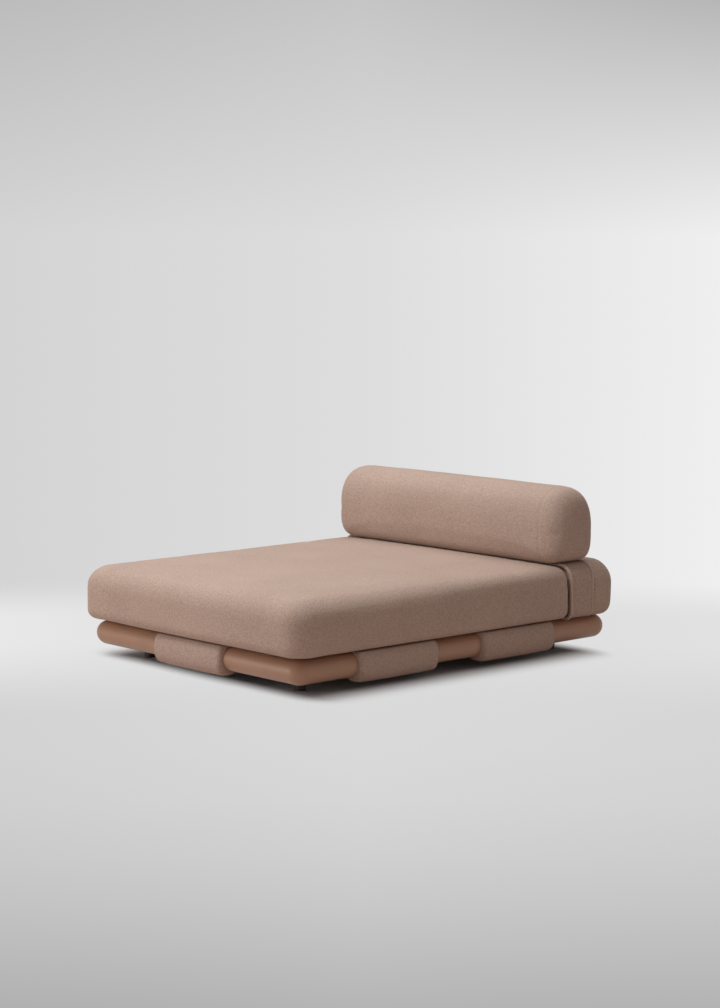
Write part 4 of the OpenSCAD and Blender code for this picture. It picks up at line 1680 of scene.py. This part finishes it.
@dataclass
class Studio:
    """A pale floor and backdrop with painted light and shade, soft light from above, a low fill at
    the foot, and the camera.
    """

    eye: tuple[float, float, float] = (8.0543, -7.1660, 1.9445)
    right: tuple[float, float, float] = (0.66775932, 0.74437725, 0.0)
    up: tuple[float, float, float] = (-0.08517853, 0.0764112, 0.9934314)
    ahead: tuple[float, float, float] = (-0.73948773, 0.66337308, -0.11442925)
    lens: float = 83.1
    lamps: tuple[SoftLamp, ...] = (
        SoftLamp("key_softbox", (-0.2, -2.2, 4.2), (0.0, 0.0, 0.3), 2.0, 110, (0.95, 1.0, 1.0)),
        SoftLamp("top_softbox", (-1.1, 1.4, 4.6), (0.0, 0.2, 0.3), 3.0, 80, (0.95, 1.0, 1.0)),
        SoftLamp("foot_fill", (-2.2, -4.2, 0.8), (0.0, -1.0, 0.2), 1.5, 34, (1.0, 0.98, 0.96)),
    )
    floor_half: float = 60.0
    floor_tone: str = "D9DADC"
    # The light that the floor throws back onto the daybed's underside is warmer than it looks
    floor_bounce: str = "C6B6AE"
    # The shadow is kept over this half size; within this reach past it the floor's painted glow
    # fades it out
    footprint: tuple[float, float, float] = (0.64, 0.80, 0.0)
    shadow_reach: float = 0.30
    # The painted glow cuts it off closer to the bed at its foot than at its long sides
    shadow_skew: tuple[float, float, float] = (1.0, 1.8, 1.0)
    room_light: float = 0.34
    room_colour: tuple[float, float, float, float] = (1.0, 0.91, 0.87, 1.0)
    # How far the backdrop's tones run to each side of the studio's long axis
    side_reach: float = 0.155
    # The sweep's painted light: its tones from left to right, from the near floor to the far wall,
    # and the distances from its centre between which each blends in
    sweep_centre: tuple[float, float, float] = (8.05, -7.17, 0.0)
    painted_sweep_light_tones: tuple[tuple[float, float, tuple[str, str, str]], ...] = (
        (0.0, 0.0, ("D4D4D4", "DBDBDB", "D7D7D7")),
        (9.3, 11.3, ("E8E8E8", "DBDBDB", "E1E1E1")),
        (11.8, 13.3, ("D4D4D4", "DDDDDD", "EFEFEF")),
    )
    # Painted shade makes the floor darker towards its near end: pairs of share of this run, and
    # tone
    painted_falloff_run: tuple[float, float] = (5.6, 10.4)
    painted_falloff_shade: tuple[tuple[float, float], ...] = (
        (0.0, 0.63),
        (0.125, 0.744),
        (0.225, 0.825),
        (0.333, 0.891),
        (0.479, 0.95),
        (0.65, 0.98),
        (1.0, 1.0),
    )
    # Painted shade: the backdrop's darker tones high on the wall, from left to right
    painted_upper_wall_shade: tuple[str, str, str] = ("BBBBBB", "C5C5C5", "B4B4B4")
    wall_rise: float = 0.1

    def camera(self) -> None:
        """Place the camera and make it the scene's."""
        data = bpy.data.cameras.new("studio_camera")
        data.lens = self.lens
        data.sensor_width = 36.0
        data.clip_end = 200.0
        camera = bpy.data.objects.new("studio_camera", data)
        bpy.context.scene.collection.objects.link(camera)
        matrix = camera.matrix_world.copy()
        for i, axes in enumerate(zip(self.right, self.up, self.ahead, self.eye)):
            right, up, ahead, eye = axes
            matrix[i][0], matrix[i][1], matrix[i][2], matrix[i][3] = right, up, -ahead, eye
        camera.matrix_world = matrix
        bpy.context.scene.camera = camera

    def sideways(self, tree: bpy.types.NodeTree, way: bpy.types.NodeSocket) -> bpy.types.NodeSocket:
        """Measure how far a direction points to the right of the studio's long axis.

        Args:
            tree: The node tree.
            way: A unit direction.

        Returns:
            0 at the left side of the backdrop, 1 at its right side.
        """
        side = add(tree, "ShaderNodeVectorMath", {0: way, 1: self.right}, operation="DOT_PRODUCT")
        share = add(
            tree,
            "ShaderNodeMapRange",
            {
                "Value": side.outputs["Value"],
                "From Min": -self.side_reach,
                "From Max": self.side_reach,
            },
        )
        return share.outputs[0]

    def seen(self, tree: bpy.types.NodeTree) -> bpy.types.NodeSocket:
        """Tell the rays that look at the studio, straight or in a reflection, from its light.

        Args:
            tree: The node tree.

        Returns:
            1 for a ray that looks, 0 for any other.
        """
        ray = add(tree, "ShaderNodeLightPath")
        either = {0: ray.outputs["Is Camera Ray"], 1: ray.outputs["Is Glossy Ray"]}
        return add(tree, "ShaderNodeMath", either, operation="MAXIMUM").outputs[0]

    def tones(
        self, tree: bpy.types.NodeTree, across: bpy.types.NodeSocket, codes: Sequence[str]
    ) -> bpy.types.NodeSocket:
        """Run three tones of painted light from the left side of the studio to its right side.

        Args:
            tree: The node tree.
            across: 0 at the left side, 1 at the right side.
            codes: The tones at the left, in the middle and at the right.

        Returns:
            The colour there.
        """
        stops = [(0.5 * k, linear(code)) for k, code in enumerate(codes)]
        return add(tree, "ShaderNodeValToRGB", {"Fac": across}, stops).outputs["Color"]

    def shadow_edge(
        self, tree: bpy.types.NodeTree, place: bpy.types.NodeSocket
    ) -> bpy.types.NodeSocket:
        """Measure how far a place on the floor lies beyond the daybed's shadow.

        Args:
            tree: The node tree.
            place: The place on the floor.

        Returns:
            0 where the shadow is kept whole, 1 where the painted glow has hidden it.
        """
        away = place
        for operation, other in (
            ("ABSOLUTE", None),
            ("SUBTRACT", self.footprint),
            ("MAXIMUM", (0.0, 0.0, 0.0)),
            ("MULTIPLY", self.shadow_skew),
        ):
            inputs = {0: away} if other is None else {0: away, 1: other}
            away = add(tree, "ShaderNodeVectorMath", inputs, operation=operation).outputs[0]
        length = add(tree, "ShaderNodeVectorMath", {0: away}, operation="LENGTH")
        past = add(
            tree,
            "ShaderNodeMapRange",
            {"Value": length.outputs["Value"], "From Min": 0.0, "From Max": self.shadow_reach},
            interpolation_type="SMOOTHSTEP",
        )
        return past.outputs[0]

    def floor(self) -> None:
        """Lay the pale floor, which keeps the daybed's shadow near it and past that glows with
        painted light that fades into the backdrop.
        """
        size = self.floor_half
        points = np.array([(x, y, 0.0) for x, y in ((-1, -1), (1, -1), (1, 1), (-1, 1))]) * size
        floor = make_mesh("studio_floor", points, [(0, 1, 2, 3)])
        # Matt painted board: an even tone with hardly any highlight
        material, tree, shader = new_material("matt_studio_floor")
        place = add(tree, "ShaderNodeNewGeometry").outputs["Position"]
        seen = self.seen(tree)
        tone = add(
            tree,
            "ShaderNodeMix",
            {"Factor": seen, 6: linear(self.floor_bounce), 7: linear(self.floor_tone)},
            data_type="RGBA",
        )
        tree.links.new(tone.outputs[2], shader.inputs["Base Color"])
        shader.inputs["Roughness"].default_value = 0.9
        shader.inputs["Specular IOR Level"].default_value = 0.1
        # Past the shadow the floor glows as painted light: a sweep whose tones run on into the
        # backdrop
        run = add(
            tree,
            "ShaderNodeVectorMath",
            {0: place, 1: self.sweep_centre},
            operation="SUBTRACT",
        ).outputs[0]
        far = add(tree, "ShaderNodeVectorMath", {0: run}, operation="LENGTH").outputs["Value"]
        way = add(tree, "ShaderNodeVectorMath", {0: run}, operation="NORMALIZE").outputs[0]
        across = self.sideways(tree, way)
        (_, _, nearest), *further = self.painted_sweep_light_tones
        colour = self.tones(tree, across, nearest)
        for start, end, codes in further:
            step = add(
                tree,
                "ShaderNodeMapRange",
                {"Value": far, "From Min": start, "From Max": end},
                interpolation_type="SMOOTHSTEP",
            )
            blend = {"Factor": step.outputs[0], 6: colour, 7: self.tones(tree, across, codes)}
            colour = add(tree, "ShaderNodeMix", blend, data_type="RGBA").outputs[2]
        start, end = self.painted_falloff_run
        close = add(tree, "ShaderNodeMapRange", {"Value": far, "From Min": start, "From Max": end})
        shade = add(
            tree,
            "ShaderNodeValToRGB",
            {"Fac": close.outputs[0]},
            [(share, (tone, tone, tone, 1)) for share, tone in self.painted_falloff_shade],
        )
        final = add(
            tree,
            "ShaderNodeMix",
            {"Factor": 1.0, 6: colour, 7: shade.outputs["Color"]},
            data_type="RGBA",
            blend_type="MULTIPLY",
        )
        # Painted light: past the shadow the floor glows, though it is no lamp
        painted_floor_glow = add(tree, "ShaderNodeEmission", {"Color": final.outputs[2], "Strength": 1.0})
        part = add(
            tree,
            "ShaderNodeMath",
            {0: self.shadow_edge(tree, place), 1: seen},
            operation="MULTIPLY",
        )
        mix = add(
            tree,
            "ShaderNodeMixShader",
            {0: part.outputs[0], 1: shader.outputs[0], 2: painted_floor_glow.outputs[0]},
        )
        tree.links.new(mix.outputs[0], tree.nodes["Material Output"].inputs["Surface"])
        floor.data.materials.append(material)

    def world(self) -> None:
        """Set the even room light and the pale backdrop that the camera sees, with painted light
        and shade on it.
        """
        world = bpy.data.worlds.new("studio_room")
        bpy.context.scene.world = world
        world.use_nodes = True
        tree = world.node_tree
        tree.nodes.clear()
        room = add(
            tree,
            "ShaderNodeBackground",
            {"Color": self.room_colour, "Strength": self.room_light},
        )
        view = add(tree, "ShaderNodeTexCoord").outputs["Generated"]
        tall = add(tree, "ShaderNodeSeparateXYZ", {"Vector": view}).outputs["Z"]
        across = self.sideways(tree, view)
        low = self.tones(tree, across, self.painted_sweep_light_tones[-1][2])
        high = self.tones(tree, across, self.painted_upper_wall_shade)
        # Painted shade darkens the wall upwards, up to this sine of the angle over the horizon
        height = add(
            tree,
            "ShaderNodeMapRange",
            {"Value": tall, "From Min": 0.0, "From Max": self.wall_rise},
        )
        blend = {"Factor": height.outputs[0], 6: low, 7: high}
        shade = add(tree, "ShaderNodeMix", blend, data_type="RGBA")
        backdrop = add(tree, "ShaderNodeBackground", {"Color": shade.outputs[2], "Strength": 1.0})
        mix = add(
            tree,
            "ShaderNodeMixShader",
            {0: self.seen(tree), 1: room.outputs[0], 2: backdrop.outputs[0]},
        )
        out = add(tree, "ShaderNodeOutputWorld")
        tree.links.new(mix.outputs[0], out.inputs["Surface"])

    def build(self) -> None:
        """Set up the camera, the floor, the room and the lamps."""
        self.camera()
        self.floor()
        self.world()
        for lamp in self.lamps:
            lamp.build()
        bpy.context.scene.view_settings.view_transform = "Standard"


# The frame's finishes

NODE_FINISHES: Sequence[tuple[Callable[[str], bool], Finish]] = (
    (lambda n: n.startswith("rail_"), Finish.RAIL),
    (lambda n: n.startswith("corner_bracket"), Finish.ZINC),
    (lambda n: n.endswith(("_bolts", "_screws", "_hangers")), Finish.ZINC),
    (lambda n: n.startswith("level_stud"), Finish.ZINC),
    (lambda n: n.startswith(("cross_beam", "spine_beam")) or n.endswith("_plates"), Finish.BEAM),
    (lambda n: n.startswith("slat_"), Finish.SLAT),
    (lambda n: n == "foot_sleeves", Finish.BRASS),
    (lambda n: n.startswith("foot_"), Finish.FOOT),
    (lambda n: n.startswith("level_pad"), Finish.PAD),
    (lambda n: n == "head_zip", Finish.ZIP_HEAD),
    (lambda n: n == "bolster_zip", Finish.ZIP_BOLSTER),
    (lambda n: n.endswith("_slider"), Finish.ZIP_METAL),
)


def dress_frame() -> int:
    """Give every hard CAD node its finish.

    Returns:
        How many nodes were dressed.
    """
    count = 0
    for name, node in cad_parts.items():
        for test, kind in NODE_FINISHES:
            if test(name):
                dress(node, kind)
                count += 1
                break
    return count


STRAPS: Sequence[tuple[str, Side]] = (
    ("strap_foot", Side.FOOT),
    ("strap_head", Side.HEAD),
    ("strap_right_1", Side.RIGHT),
    ("strap_right_2", Side.RIGHT),
    ("strap_left_1", Side.LEFT),
    ("strap_left_2", Side.LEFT),
)


def main() -> None:
    logging.basicConfig(level=logging.INFO, format="%(message)s")
    LOG.info("dressed %d hard nodes", dress_frame())
    pieces = [SeatCushion().build(), HeadCushion().build()]
    pieces += [*HeadBand().build(), BackBolster().build()]
    pieces += [RailStrap(node, side).build() for node, side in STRAPS]
    for piece in pieces:
        LOG.info("%s: %d faces", piece.name, len(piece.data.polygons))
    Studio().build()
    bpy.context.view_layer.update()


if __name__ == "__main__":
    main()
